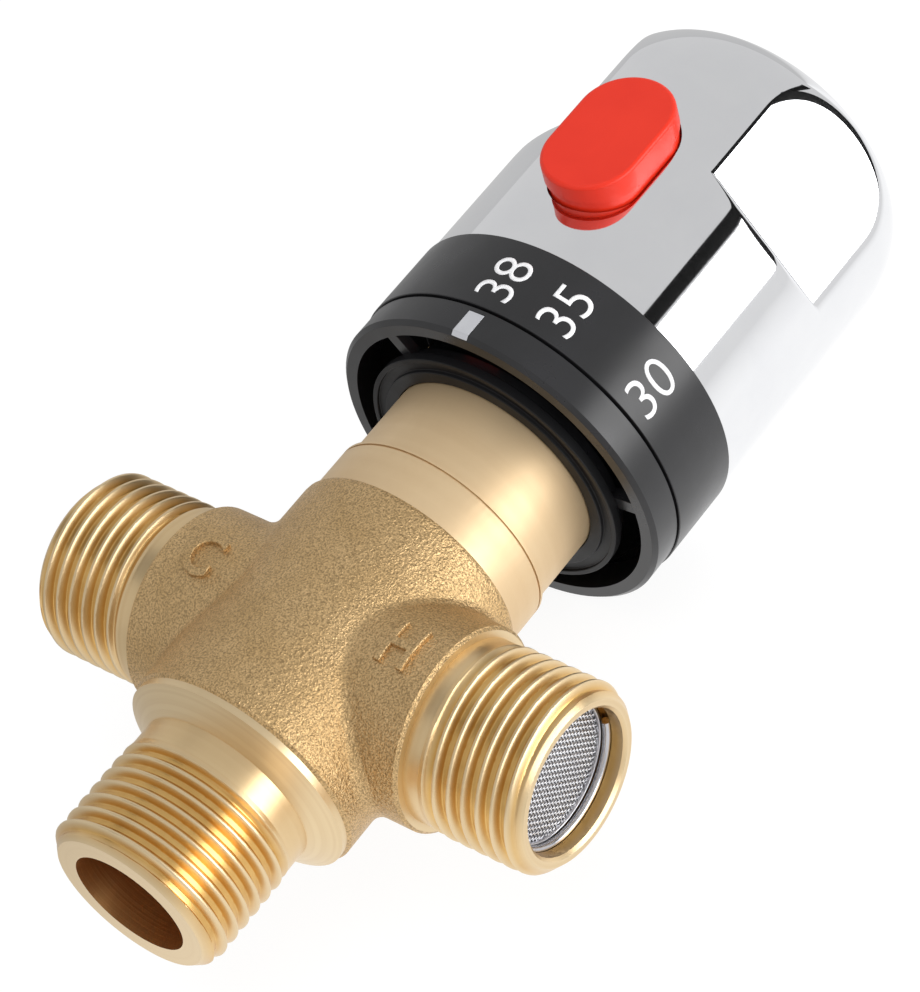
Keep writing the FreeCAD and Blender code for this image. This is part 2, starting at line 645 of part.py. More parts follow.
# ---------------------------------------------------------------- bonnet and spindle
def bonnet():
    """Brass bonnet: holds the cartridge down, guides the cup and carries the spindle."""
    core = turned([
        (BONNET_X0, 0), (BONNET_X0, BONNET_PLUG_R), (SPIGOT_END_X, BONNET_PLUG_R),
        (SPIGOT_END_X, BONNET_NOSE_R), (BONNET_NOSE_X1, BONNET_NOSE_R), (BONNET_NOSE_X1, 0),
    ])
    core = core.fuse(hex_prism(SPIGOT_END_X, BONNET_X1, 2 * (SPIGOT_R + BONNET_HEX_STEP)))
    guide = tube(BONNET_X0 - 1, BONNET_WALL_X0, BONNET_BORE_R)
    key = CUP_FLAT + RUN
    slot_end = BONNET_X0 + BONNET_GUIDE_L
    cheeks = block(BONNET_X0, slot_end, -BONNET_BORE_R - 1, BONNET_BORE_R + 1,
                   -BONNET_BORE_R - 1, BONNET_BORE_R + 1)
    cheeks = cheeks.common(tube(BONNET_X0, slot_end, BONNET_BORE_R))
    cheeks = cheeks.cut(block(BONNET_X0 - 1, slot_end + 1, -key, key,
                              -BONNET_BORE_R - 1, BONNET_BORE_R + 1))
    body = core.cut(guide).fuse(cheeks)
    body = body.cut(tube(BONNET_WALL_X0 - 1, BONNET_NOSE_X1 + 1, SPINDLE_R + RUN))
    body = body.cut(o_ring_groove(BONNET_SEAL_X, seal_floor(CHAMBER_R)))
    return body.removeSplitter()


def hex_prism(x0, x1, across_flats):
    corner = across_flats / sqrt(3)
    points = [Vector(x0, corner * sin(pi * k / 3), corner * cos(pi * k / 3)) for k in range(7)]
    return Part.Face(Part.makePolygon(points)).extrude(Vector(x1 - x0, 0, 0))


def bonnet_seal():
    return o_ring(BONNET_SEAL_X, seal_floor(CHAMBER_R))


def spindle():
    collar_x0 = BONNET_WALL_X0 - SPINDLE_COLLAR_L
    screw_x0 = CUP_X1 - CUP_WALL + GAP
    groove_x = BONNET_NOSE_X1 + RUN
    stem = turned([
        (screw_x0, 0), (screw_x0, CUP_THREAD_R - RUN - 0.4), (screw_x0 + 0.4, CUP_THREAD_R - RUN),
        (collar_x0, CUP_THREAD_R - RUN), (collar_x0, SPINDLE_COLLAR_R),
        (BONNET_WALL_X0 - FIT, SPINDLE_COLLAR_R), (BONNET_WALL_X0 - FIT, SPINDLE_R),
        (groove_x, SPINDLE_R), (groove_x, SPINDLE_R - CIRCLIP_DEPTH),
        (groove_x + CIRCLIP_T, SPINDLE_R - CIRCLIP_DEPTH), (groove_x + CIRCLIP_T, SPINDLE_R),
        (CARRIER_DISC_X1, SPINDLE_R), (CARRIER_DISC_X1, 0),
    ])
    head = spline_ring(CARRIER_DISC_X1, SPINDLE_END_X, SPINDLE_SPLINE_R,
                       SPINDLE_SPLINE_DEPTH, SPINDLE_SPLINE_TEETH)
    tapped = tube(SPINDLE_END_X - SCREW_GRIP, SPINDLE_END_X + 1, SCREW_R + FIT)
    return stem.fuse(head).cut(tapped)


def spindle_circlip():
    """E-shaped clip that stops the spindle being pushed in."""
    x0 = BONNET_NOSE_X1 + RUN + FIT
    seat_r = SPINDLE_R - CIRCLIP_DEPTH + FIT
    clip = tube(x0, x0 + CIRCLIP_T - 2 * FIT, SPINDLE_R + CIRCLIP_W, seat_r)
    return clip.cut(block(x0 - 1, x0 + 2, -seat_r * 0.8, seat_r * 0.8, -SPINDLE_R - 4, 0))


# ---------------------------------------------------------------- fixed rings
def stop_ring():
    """Black ring on the body's splined spigot, with a lip round its front flange."""
    seat = NECK_R + RUN
    ring = turned([
        (STOP_X0, seat), (STOP_X0, STOP_HUB_R + 0.4), (STOP_X0 + STOP_LIP_H, STOP_HUB_R + 0.4),
        (STOP_X0 + STOP_LIP_H, STOP_FLANGE_R - STOP_LIP_W), (STOP_X0 + 0.1, STOP_FLANGE_R - STOP_LIP_W),
        (STOP_X0 + 0.1, STOP_FLANGE_R), (STOP_X0 + STOP_FLANGE_L, STOP_FLANGE_R),
        (STOP_X0 + STOP_FLANGE_L, STOP_HUB_R), (SPIGOT_END_X, STOP_HUB_R),
        (SPIGOT_END_X, SPIGOT_R - SPLINE_DEPTH), (NECK_END_X + FIT, SPIGOT_R - SPLINE_DEPTH),
        (NECK_END_X + FIT, seat),
    ])
    return ring.cut(spline_ring(NECK_END_X - 1, SPIGOT_END_X + 1, SPIGOT_R + FIT,
                                SPLINE_DEPTH, SPLINE_TEETH))


def index_ring():
    """Fixed ring with the index mark: a skirt on ribs from a hub, and the 38 degree stop."""
    skirt = turned([
        (RING_X0, RING_BORE_R), (RING_X0, RING_R - RING_EDGE),
        (RING_X0 + RING_EDGE, RING_R), (RING_X1, RING_R), (RING_X1, RING_BORE_R),
    ])
    hub = tube(STOP_X0 + STOP_FLANGE_L, RIB_X1, RING_HUB_R, STOP_HUB_R + FIT)
    ribs = [
        around(block(STOP_X0 + STOP_FLANGE_L, RIB_X1, -RING_RIB_W / 2, RING_RIB_W / 2,
                     RING_HUB_R - 0.3, RING_BORE_R + 0.3),
               RING_RIB_DEG + k * 360 / RING_RIBS)
        for k in range(RING_RIBS)
    ]
    slot = block(RING_X0 - 1, RING_X1 - MARK_DEPTH, -MARK_W / 2 - FIT, MARK_W / 2 + FIT,
                 RING_R - MARK_DEPTH, RING_R + 1)
    return skirt.multiFuse([hub] + ribs + [stop_tooth()]).cut(slot).removeSplitter()


def stop_tooth():
    """Stop that the button's leg meets on the hot side of 38 degrees."""
    leg_corner_r = sqrt(LEG_TOP ** 2 + (BUTTON_LEG_W / 2) ** 2)
    band = tube(LEG_TIP_X - GAP, RING_X1, RING_BORE_R + 0.3, leg_corner_r + STOP_TOOTH_GAP)
    half = radians(STOP_TOOTH_DEG / 2)
    reach = RING_R + 5
    sector = Part.Face(Part.makePolygon([
        Vector(RING_X0, 0, 0), Vector(RING_X0, -reach * sin(half), reach * cos(half)),
        Vector(RING_X0, reach * sin(half), reach * cos(half)), Vector(RING_X0, 0, 0),
    ])).extrude(Vector(RING_X1 - RING_X0, 0, 0))
    leg_half = asin(BUTTON_LEG_W / 2 / LEG_TOP) * 180 / pi
    return around(band.common(sector), -(leg_half + STOP_TOOTH_DEG / 2 + 1.0))


def index_mark():
    """Silver strip let flush into the index ring."""
    strip = block(RING_X0, RING_X1 - MARK_DEPTH - FIT, -MARK_W / 2, MARK_W / 2,
                  RING_R - MARK_DEPTH + FIT, RING_R + 1)
    envelope = turned([
        (RING_X0, 0), (RING_X0, RING_R - RING_EDGE), (RING_X0 + RING_EDGE, RING_R),
        (RING_X1, RING_R), (RING_X1, 0),
    ])
    return strip.common(envelope)


# ---------------------------------------------------------------- knob
def scale_ring():
    """Black ring that carries the temperature numbers."""
    ring = turned([
        (SCALE_X0, SCALE_BORE_R), (SCALE_X0, SCALE_R), (SCALE_X1, SCALE_R),
        (SCALE_X1, SCALE_FLANGE_R), (SCALE_X1 - SCALE_FLANGE_T, SCALE_FLANGE_R),
        (SCALE_X1 - SCALE_FLANGE_T, SCALE_BORE_R),
    ])
    return ring.cut(leg_slot()).cut(peg_holes())


def leg_slot():
    """The way through the scale ring's flange and the carrier for the button's leg."""
    half = BUTTON_LEG_W / 2 + GAP
    return block(SCALE_X1 - 2 * SCALE_FLANGE_T, SCALE_X1 + 2 * CARRIER_DISC_T, -half, half,
                 BUTTON_BASE - BUTTON_TRAVEL - 2 * GAP, LEG_TOP + GAP)


def peg_holes():
    holes = [peg(k, CARRIER_PEG_R + FIT) for k in range(CARRIER_PEGS)]
    return holes[0].multiFuse(holes[1:])


def peg(index, radius):
    centre_r = (SCALE_FLANGE_R + SHELL_BORE_R) / 2
    pin = Part.makeCylinder(radius, SCALE_FLANGE_T + CARRIER_DISC_T / 2,
                            Vector(SCALE_X1 - SCALE_FLANGE_T, 0, centre_r), X_AXIS)
    return around(pin, 60 + 120 * index)


def knob_shell():
    """Chromed cap: domed end, three grip flats, button slot and a boss for its screw."""
    solid = dome().cut(facet_cutters(0))
    room = cavity().cut(facet_cutters(SHELL_WALL))
    boss = tube(BOSS_FLOOR_X, DOME_END_X - SHELL_WALL, BOSS_R)
    shell = solid.cut(room.cut(boss))
    shell = shell.cut(tube(BOSS_FLOOR_X + BOSS_FLOOR_T, DOME_END_X + 1, BOSS_BORE_R))
    shell = shell.cut(tube(BOSS_FLOOR_X - 1, BOSS_FLOOR_X + BOSS_FLOOR_T + 1, SCREW_R + FIT))
    return shell.cut(obround(
        BUTTON_NECK_L + 2 * GAP, BUTTON_NECK_W + 2 * GAP, SHELL_BORE_R - 4, KNOB_R + 1))


def dome():
    """The shell's outside, turned about X: straight, then a quarter of an oval."""
    centre_r = KNOB_R - DOME_ROUND
    corner = Vector(DOME_START_X, 0, centre_r)
    shoulder_point = corner + Vector(0, 0, DOME_ROUND)
    end_point = corner + Vector(DOME_LENGTH, 0, 0)
    arc = Part.Arc(Part.Ellipse(end_point, shoulder_point, corner), 0, pi / 2)
    outline = [Vector(DOME_END_X, 0, 0), Vector(SCALE_X1, 0, 0), Vector(SCALE_X1, 0, KNOB_R),
               shoulder_point]
    sides = [Part.makeLine(p, q) for p, q in zip(outline, outline[1:])]
    sides += [arc.toShape(), Part.makeLine(end_point, outline[0])]
    wire = Part.Wire(Part.__sortEdges__(sides))
    return Part.Face(wire).revolve(ORIGIN, X_AXIS, 360)


def cavity():
    """The room inside the shell; its domed end is cut as three plain cones."""
    length, radius = DOME_LENGTH - SHELL_WALL, DOME_ROUND - SHELL_WALL
    centre_r = KNOB_R - DOME_ROUND
    steps = [radians(30 * k) for k in range(4)]
    oval = [(DOME_START_X + length * sin(a), centre_r + radius * cos(a)) for a in steps]
    return turned([(SCALE_X1 - 1, 0), (SCALE_X1 - 1, SHELL_BORE_R), *oval,
                   (DOME_END_X - SHELL_WALL, 0)])


def facet_cutters(inset):
    """Everything outside the grip flats and their ramps, moved in by the wall."""
    flat_h = FACET_H - inset
    slope = FACET_DEPTH / FACET_RAMP_L
    start = FACET_X + inset * (sqrt(1 + slope ** 2) - 1) / slope
    top = KNOB_R + 6
    side = KNOB_R
    outline = [(start, flat_h), (DOME_END_X + 5, flat_h), (DOME_END_X + 5, top),
               (start - (top - flat_h) / slope, top)]
    wire = Part.makePolygon([Vector(x, -side, h) for x, h in outline + outline[:1]])
    prism = Part.Face(wire).extrude(Vector(0, 2 * side, 0))
    cuts = [around(prism, angle) for angle in FACET_DEGS]
    return cuts[0].multiFuse(cuts[1:])


def knob_cap():
    """Small plated plug over the screw."""
    return turned([
        (DOME_END_X - CAP_T, 0), (DOME_END_X - CAP_T, BOSS_BORE_R - FIT),
        (DOME_END_X - 0.3, BOSS_BORE_R - FIT), (DOME_END_X, BOSS_BORE_R - 0.3 - FIT),
        (DOME_END_X, 0),
    ])


def knob_carrier():
    """Moulded insert: splined hub on the spindle, disc for shell and scale ring, spring pad."""
    disc = tube(SCALE_X1, CARRIER_DISC_X1, SHELL_BORE_R - FIT)
    hub = tube(SCALE_X1, CARRIER_HUB_X1, CARRIER_HUB_R)
    half = BUTTON_SPRING_R + BUTTON_WIRE_R + 0.8
    pad = block(BUTTON_X - half, BUTTON_X + half, -half, half, 0, CARRIER_PAD_TOP)
    post = Part.makeCylinder(BUTTON_POST_R, 2.0, Vector(BUTTON_X, 0, CARRIER_PAD_TOP), Z_AXIS)
    fins = [
        around(block(SCALE_X1, BUTTON_X - half, -CARRIER_FIN_T / 2,
                     CARRIER_FIN_T / 2, 0, SCALE_FLANGE_R), 60 + 120 * k)
        for k in range(3)
    ]
    pegs = [peg(k, CARRIER_PEG_R) for k in range(CARRIER_PEGS)]
    body = disc.multiFuse([hub, pad, post] + fins + pegs)
    body = body.cut(spline_ring(SCALE_X1 - 1, CARRIER_HUB_X1 - CARRIER_END_T,
                                SPINDLE_SPLINE_R + FIT, SPINDLE_SPLINE_DEPTH, SPINDLE_SPLINE_TEETH))
    body = body.cut(tube(SCALE_X1, CARRIER_HUB_X1 + 1, SCREW_R + FIT))
    return body.cut(leg_slot()).removeSplitter()


def knob_screw():
    head_x = BOSS_FLOOR_X + BOSS_FLOOR_T
    shank_x = SPINDLE_END_X - SCREW_GRIP + 1.5
    screw = turned([
        (shank_x, 0), (shank_x, SCREW_R - 0.4), (shank_x + 0.4, SCREW_R), (head_x, SCREW_R),
        (head_x, SCREW_HEAD_R), (head_x + SCREW_HEAD_L - 0.6, SCREW_HEAD_R),
        (head_x + SCREW_HEAD_L, SCREW_HEAD_R - 0.8), (head_x + SCREW_HEAD_L, 0),
    ])
    cross = SCREW_HEAD_R * 0.6
    for y, z in ((cross, 0.5), (0.5, cross)):
        screw = screw.cut(block(head_x + 1.0, head_x + SCREW_HEAD_L + 1, -y, y, -z, z))
    return screw


# ---------------------------------------------------------------- safety button
def safety_button():
    """Red button: overhanging head, neck through the shell, flange inside and stop leg."""
    head = obround(BUTTON_L, BUTTON_W, KNOB_R - 3, BUTTON_TOP)
    top_edges = [e for e in head.Edges if e.BoundBox.ZMin > BUTTON_TOP - 0.01]
    head = head.makeFillet(BUTTON_EDGE, top_edges)
    head = head.cut(tube(BUTTON_X - BUTTON_L, BUTTON_X + BUTTON_L, HEAD_UNDER_R))
    neck = obround(BUTTON_NECK_L, BUTTON_NECK_W, BUTTON_BASE, HEAD_UNDER_R + 0.5)
    flange = obround(BUTTON_NECK_L + 2 * BUTTON_FLANGE, BUTTON_NECK_W + 2 * BUTTON_FLANGE,
                     BUTTON_BASE, KNOB_R)
    flange = flange.common(tube(BUTTON_X - BUTTON_L, BUTTON_X + BUTTON_L,
                                SHELL_BORE_R - FIT))
    leg = block(LEG_TIP_X, BUTTON_X - BUTTON_NECK_L / 4, -BUTTON_LEG_W / 2, BUTTON_LEG_W / 2,
                LEG_TOP - BUTTON_LEG_T, LEG_TOP)
    socket = Part.makeCylinder(BUTTON_SPRING_R + BUTTON_WIRE_R + GAP, BUTTON_SOCKET,
                               Vector(BUTTON_X, 0, BUTTON_BASE), Z_AXIS)
    return head.multiFuse([neck, flange, leg]).cut(socket).removeSplitter()


def button_spring():
    z0, z1 = CARRIER_PAD_TOP, BUTTON_BASE + BUTTON_SOCKET
    spring = coil(z0, z1, BUTTON_SPRING_R, BUTTON_WIRE_R, BUTTON_SPRING_TURNS)
    return spring.rotated(ORIGIN, Y_AXIS, -90).translated(Vector(BUTTON_X, 0, 0))


# ---------------------------------------------------------------- all sub-parts
def sub_parts():
    parts = {
        "valve_body": valve_body(),
        "cartridge_sleeve": sleeve(),
        "hot_sleeve_seal": sleeve_seal(0),
        "middle_sleeve_seal": sleeve_seal(1),
        "cold_sleeve_seal": sleeve_seal(2),
        "return_spring": return_spring(),
        "mixing_shuttle": shuttle(),
        "wax_element": wax_element(),
        "element_pin": element_pin(),
        "overload_piston": overload_piston(),
        "overload_spring": overload_spring(),
        "pusher_cup": pusher_cup(),
        "bonnet": bonnet(),
        "bonnet_seal": bonnet_seal(),
        "spindle": spindle(),
        "spindle_circlip": spindle_circlip(),
        "stop_ring": stop_ring(),
        "index_ring": index_ring(),
        "index_mark": index_mark(),
        "scale_ring": scale_ring(),
        "knob_carrier": knob_carrier(),
        "knob_shell": knob_shell(),
        "knob_screw": knob_screw(),
        "knob_cap": knob_cap(),
        "safety_button": safety_button(),
        "button_spring": button_spring(),
    }
    for name, side in (("hot", HOT), ("cold", COLD)):
        parts[name + "_strainer"] = strainer(side)
        parts[name + "_retaining_clip"] = retaining_clip(side)
        parts[name + "_check_housing"] = check_housing(side)
        parts[name + "_check_seal"] = check_seal(side)
        parts[name + "_check_poppet"] = check_poppet(side)
        parts[name + "_check_spring"] = check_spring(side)
    return parts


os.makedirs("parts", exist_ok=True)
for name, shape in sub_parts().items():
    shape.exportStep(os.path.join("parts", name + ".step"))
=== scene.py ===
# %% [markdown]
# # A thermostatic mixing valve
#
# Hot and cold water enter at the two sides of a brass casting, and mixed water leaves at its
# far end. A wax element inside holds the temperature, which a chromed knob sets. The packed
# CAD model gives every place and size here. This script adds what a machinist, a moulder and
# a plater would add: the screw threads, the cast skin, the plating, the printed numbers and
# the woven strainers.

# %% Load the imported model
import json
from math import cos, exp, hypot, log, pi, radians, sin

import bmesh
import bpy
from mathutils import Matrix, Vector


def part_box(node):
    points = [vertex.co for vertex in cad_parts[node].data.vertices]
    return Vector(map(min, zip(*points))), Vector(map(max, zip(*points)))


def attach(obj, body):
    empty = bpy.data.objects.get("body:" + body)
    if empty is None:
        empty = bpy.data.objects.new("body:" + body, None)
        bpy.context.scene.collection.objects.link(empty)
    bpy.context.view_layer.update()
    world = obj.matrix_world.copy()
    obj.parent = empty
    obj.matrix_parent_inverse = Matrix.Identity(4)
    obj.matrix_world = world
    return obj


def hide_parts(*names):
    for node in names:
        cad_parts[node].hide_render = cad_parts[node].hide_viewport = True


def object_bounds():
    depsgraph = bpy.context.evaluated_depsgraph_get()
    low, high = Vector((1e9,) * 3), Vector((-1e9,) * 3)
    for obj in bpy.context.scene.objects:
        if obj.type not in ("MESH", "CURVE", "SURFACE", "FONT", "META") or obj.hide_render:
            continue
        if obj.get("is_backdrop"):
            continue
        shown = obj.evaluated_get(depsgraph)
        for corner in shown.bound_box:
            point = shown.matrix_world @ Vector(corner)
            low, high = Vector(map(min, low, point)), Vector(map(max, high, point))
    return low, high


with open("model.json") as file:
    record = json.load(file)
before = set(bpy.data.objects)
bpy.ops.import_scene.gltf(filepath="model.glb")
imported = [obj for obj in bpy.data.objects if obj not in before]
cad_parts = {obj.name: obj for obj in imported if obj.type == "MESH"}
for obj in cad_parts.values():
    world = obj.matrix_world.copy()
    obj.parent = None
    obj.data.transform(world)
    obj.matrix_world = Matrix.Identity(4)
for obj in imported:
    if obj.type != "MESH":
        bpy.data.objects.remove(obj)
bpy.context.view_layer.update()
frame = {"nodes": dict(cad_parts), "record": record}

# %% [markdown]
# ## Places and sizes
#
# Lengths are in metres, and `MM` turns the millimetres of a workshop drawing into them. The
# pipe threads, the outlet's bore and the inlets' axis come from the record's mounts, and the
# rings, strainers and clips are placed by the boxes of their CAD nodes. A size that neither
# gives, such as where the cast skin ends or how the knob's grips run, is written as a named
# length beside its step, and has to be changed along with the CAD.

# %% Places that the rest of the script shares
MM = 0.001
record = frame["record"]
mounts = {mount["name"]: mount for mount in record["mounts"]}
body_of = {node: body for body, nodes in record["behaviour"]["bodies"].items() for node in nodes}
THREAD_R = mounts["mixed_outlet"]["dims"]["r_mm"] * MM
INLET_X = mounts["hot_inlet"]["pos_m"][0]
HOT, COLD = -1, 1
SIDES = (("hot", HOT), ("cold", COLD))
INLET_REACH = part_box("valve_body")[1].y
print("thread radius", THREAD_R, "inlet axis at", INLET_X, "inlets reach", INLET_REACH)

# %% [markdown]
# ## Small helpers
#
# A CAD node arrives as loose triangles. `clean_copy` welds a copy of them into one skin, and
# `add_piece` puts a finished mesh into the scene, gives it its finish and lets it ride on its
# body.

# %% Helpers for pieces
def clean_copy(node, weld=1e-6, flatten=True):
    """A CAD node's triangles as one welded mesh, its flat areas joined into single faces."""
    mesh = bmesh.new()
    mesh.from_mesh(frame["nodes"][node].data)
    bmesh.ops.remove_doubles(mesh, verts=mesh.verts, dist=weld)
    if flatten:
        bmesh.ops.dissolve_limit(mesh, angle_limit=radians(0.4), verts=mesh.verts,
                                 edges=mesh.edges)
    return mesh


def to_mesh(mesh, name):
    """Turns a bmesh into smooth-shaded mesh data, without normals kept from the import."""
    data = bpy.data.meshes.new(name)
    mesh.to_mesh(data)
    mesh.free()
    if data.has_custom_normals:
        data.attributes.remove(data.attributes["custom_normal"])
    data.shade_smooth()
    return data


def add_piece(name, data, body, materials, replaces=()):
    """Adds a finished mesh to the scene as a piece that rides on a CAD body."""
    piece = bpy.data.objects.new(name, data)
    bpy.context.scene.collection.objects.link(piece)
    data.materials.clear()
    for material in materials:
        data.materials.append(material)
    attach(piece, body)
    if replaces:
        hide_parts(*replaces)
    return piece


def soften(piece, width, segments=3, angle=30):
    """Rounds a piece's edges and keeps its flat faces flat in the shading."""
    bevel = piece.modifiers.new("soft edges", "BEVEL")
    bevel.width = width
    bevel.segments = segments
    bevel.limit_method = "ANGLE"
    bevel.angle_limit = radians(angle)
    bevel.miter_outer = "MITER_ARC"
    normals = piece.modifiers.new("even shading", "WEIGHTED_NORMAL")
    normals.keep_sharp = True
    return piece


def joined(objects, name):
    """The evaluated meshes of several objects as one mesh, the objects then removed."""
    graph = bpy.context.evaluated_depsgraph_get()
    mesh = bmesh.new()
    for item in objects:
        data = bpy.data.meshes.new_from_object(item.evaluated_get(graph))
        data.transform(item.matrix_world)
        mesh.from_mesh(data)
        bpy.data.objects.remove(item)
    data = bpy.data.meshes.new(name)
    mesh.to_mesh(data)
    mesh.free()
    return data


def ring(mesh, x, radius_at, count):
    """A ring of vertices about X; angles run from +Z towards +Y."""
    verts = []
    for k in range(count):
        angle = 2 * pi * k / count
        r = radius_at(angle)
        verts.append(mesh.verts.new((x, r * sin(angle), r * cos(angle))))
    return verts


def bridge(mesh, first, second):
    """Joins two rings of the same count with four-sided faces."""
    count = len(first)
    for k in range(count):
        mesh.faces.new((first[k], second[k], second[(k + 1) % count], first[(k + 1) % count]))


def lathe(section, to_world, segments=96):
    """A closed section of (along, radius) places turned about X, then put in place."""
    mesh = bmesh.new()
    rings = [ring(mesh, x, lambda a, r=r: r, segments) for x, r in section]
    for first, second in zip(rings, rings[1:] + rings[:1]):
        bridge(mesh, first, second)
    bmesh.ops.transform(mesh, matrix=to_world, verts=mesh.verts)
    bmesh.ops.recalc_face_normals(mesh, faces=mesh.faces)
    return mesh


def temporary(data):
    """A mesh as an object that only helps to make another."""
    item = bpy.data.objects.new("helper", data)
    bpy.context.scene.collection.objects.link(item)
    return item


def carved(base, cutter):
    """Mesh data of one mesh with another cut away."""
    subject, tool = temporary(base), temporary(cutter)
    boolean = subject.modifiers.new("cut", "BOOLEAN")
    boolean.operation = "DIFFERENCE"
    boolean.solver = "EXACT"
    boolean.object = tool
    bpy.context.view_layer.update()
    result = joined([subject], base.name)
    bpy.data.objects.remove(tool)
    return result

# %% [markdown]
# ## Building node trees
#
# Shader and geometry trees are built by the same small function. It makes one node, sets its
# options, and fills each input with a value or with a link from another node's output.

# %% Helpers for node trees
def node(tree, kind, inputs=None, **settings):
    """Adds one node; an input given as a socket is linked, and any other value is set."""
    made = tree.nodes.new(kind)
    for key, value in settings.items():
        setattr(made, key, value)
    for key, value in (inputs or {}).items():
        if isinstance(value, bpy.types.NodeSocket):
            tree.links.new(value, made.inputs[key])
        else:
            made.inputs[key].default_value = value
    return made


def math_node(tree, operation, first, second=0.0):
    return node(tree, "ShaderNodeMath", {0: first, 1: second}, operation=operation).outputs[0]


def mix_colours(tree, factor, first, second):
    mixed = node(tree, "ShaderNodeMix", {0: factor, 6: first, 7: second}, data_type="RGBA")
    return mixed.outputs[2]


def spread(tree, value, low, high):
    """Maps a 0 to 1 value on to a range."""
    return node(tree, "ShaderNodeMapRange", {0: value, 3: low, 4: high}).outputs[0]


def shader_group(name, inputs, outputs):
    """An empty shader group with named float inputs and outputs, and its two end nodes."""
    tree = bpy.data.node_groups.new(name, "ShaderNodeTree")
    for label, default in inputs.items():
        socket = tree.interface.new_socket(label, in_out="INPUT", socket_type="NodeSocketFloat")
        socket.default_value = default
    for label in outputs:
        tree.interface.new_socket(label, in_out="OUTPUT", socket_type="NodeSocketFloat")
    return tree, tree.nodes.new("NodeGroupInput"), tree.nodes.new("NodeGroupOutput")

# %% [markdown]
# ## Three effects that several finishes share
#
# *Grain* is the fine unevenness of a cast or moulded skin. *Turning marks* are the rings that
# a lathe's tool leaves: they change along the axis and across an end face, never round the
# part. *Smudges* are broad, faint changes in tone, as of handling and tarnish. Each is one
# group, built once, that every material below takes with its own sizes.

# %% Shared shader groups
def make_grain():
    tree, start, end = shader_group("grain", {"Size": 0.3 * MM}, ["Height", "Speckle"])
    place = node(tree, "ShaderNodeTexCoord").outputs["Object"]
    scale = math_node(tree, "DIVIDE", 1.0, start.outputs["Size"])
    coarse = node(tree, "ShaderNodeTexNoise", {"Vector": place, "Scale": scale, "Detail": 3.0,
                                               "Roughness": 0.6})
    finer = math_node(tree, "MULTIPLY", scale, 2.3)
    fine = node(tree, "ShaderNodeTexNoise", {"Vector": place, "Scale": finer, "Detail": 1.0})
    both = math_node(tree, "ADD", math_node(tree, "MULTIPLY", coarse.outputs["Fac"], 0.7),
                     math_node(tree, "MULTIPLY", fine.outputs["Fac"], 0.3))
    tree.links.new(both, end.inputs["Height"])
    speckle = node(tree, "ShaderNodeMapRange", {0: fine.outputs["Fac"], 1: 0.38, 2: 0.66})
    tree.links.new(speckle.outputs[0], end.inputs["Speckle"])
    return tree


def make_turning_marks():
    tree, start, end = shader_group(
        "turning_marks", {"Along": 0.0, "Spacing": 0.12 * MM}, ["Height", "Tone"])
    count = math_node(tree, "DIVIDE", start.outputs["Along"], start.outputs["Spacing"])
    fine = node(tree, "ShaderNodeTexNoise", {"W": count, "Scale": 1.0, "Detail": 2.0},
                noise_dimensions="1D")
    slow = math_node(tree, "MULTIPLY", count, 0.06)
    broad = node(tree, "ShaderNodeTexNoise", {"W": slow, "Scale": 1.0, "Detail": 2.0},
                 noise_dimensions="1D")
    tree.links.new(fine.outputs["Fac"], end.inputs["Height"])
    tree.links.new(broad.outputs["Fac"], end.inputs["Tone"])
    return tree


def make_smudges():
    tree, start, end = shader_group("smudges", {"Size": 6 * MM}, ["Mask"])
    place = node(tree, "ShaderNodeTexCoord").outputs["Object"]
    scale = math_node(tree, "DIVIDE", 1.0, start.outputs["Size"])
    cloud = node(tree, "ShaderNodeTexNoise", {"Vector": place, "Scale": scale, "Detail": 4.0,
                                              "Roughness": 0.55, "Distortion": 0.4})
    mask = node(tree, "ShaderNodeMapRange", {0: cloud.outputs["Fac"], 1: 0.3, 2: 0.7})
    tree.links.new(mask.outputs[0], end.inputs["Mask"])
    return tree


GRAIN, MARKS, SMUDGES = make_grain(), make_turning_marks(), make_smudges()
print("shader groups:", GRAIN.name, MARKS.name, SMUDGES.name)

# %% [markdown]
# ## Finishes
#
# Every finish is a Principled shader whose base colour, roughness and bump come from those
# groups. What is the same all over, such as a plastic's specular level, is set on the shader
# itself. A metal takes all its colour from its reflections, so brass is a metallic surface
# with a warm base colour, and its look is decided by how rough it is.

# %% Material makers
def start_material(name, metallic):
    material = bpy.data.materials.new(name)
    material.use_nodes = True
    tree = material.node_tree
    shader = tree.nodes["Principled BSDF"]
    shader.inputs["Metallic"].default_value = metallic
    return material, tree, shader


def use_group(tree, group, **inputs):
    return node(tree, "ShaderNodeGroup", inputs, node_tree=group).outputs


def finish_with(tree, shader, colour, roughness, height, depth):
    """Links a surface's colour, roughness and bump; depth is the bump's height in metres."""
    bump = node(tree, "ShaderNodeBump", {"Height": height, "Distance": depth, "Strength": 1.0})
    tree.links.new(colour, shader.inputs["Base Color"])
    tree.links.new(roughness, shader.inputs["Roughness"])
    tree.links.new(bump.outputs[0], shader.inputs["Normal"])


def grained(name, light, dark, roughness, size, depth, metallic=0.0, specular=0.5, speckle=0.3):
    """A cast, moulded or drawn skin: fine grain over faint smudges."""
    material, tree, shader = start_material(name, metallic)
    shader.inputs["Specular IOR Level"].default_value = specular
    grain = use_group(tree, GRAIN, Size=size)
    smudge = use_group(tree, SMUDGES)["Mask"]
    base = mix_colours(tree, smudge, (*light, 1), (*dark, 1))
    shade = math_node(tree, "MULTIPLY", grain["Speckle"], speckle)
    colour = mix_colours(tree, shade, base, (*(c * 0.55 for c in dark), 1))
    rough = spread(tree, smudge, roughness * 0.88, roughness * 1.12)
    finish_with(tree, shader, colour, rough, grain["Height"], depth)
    return material


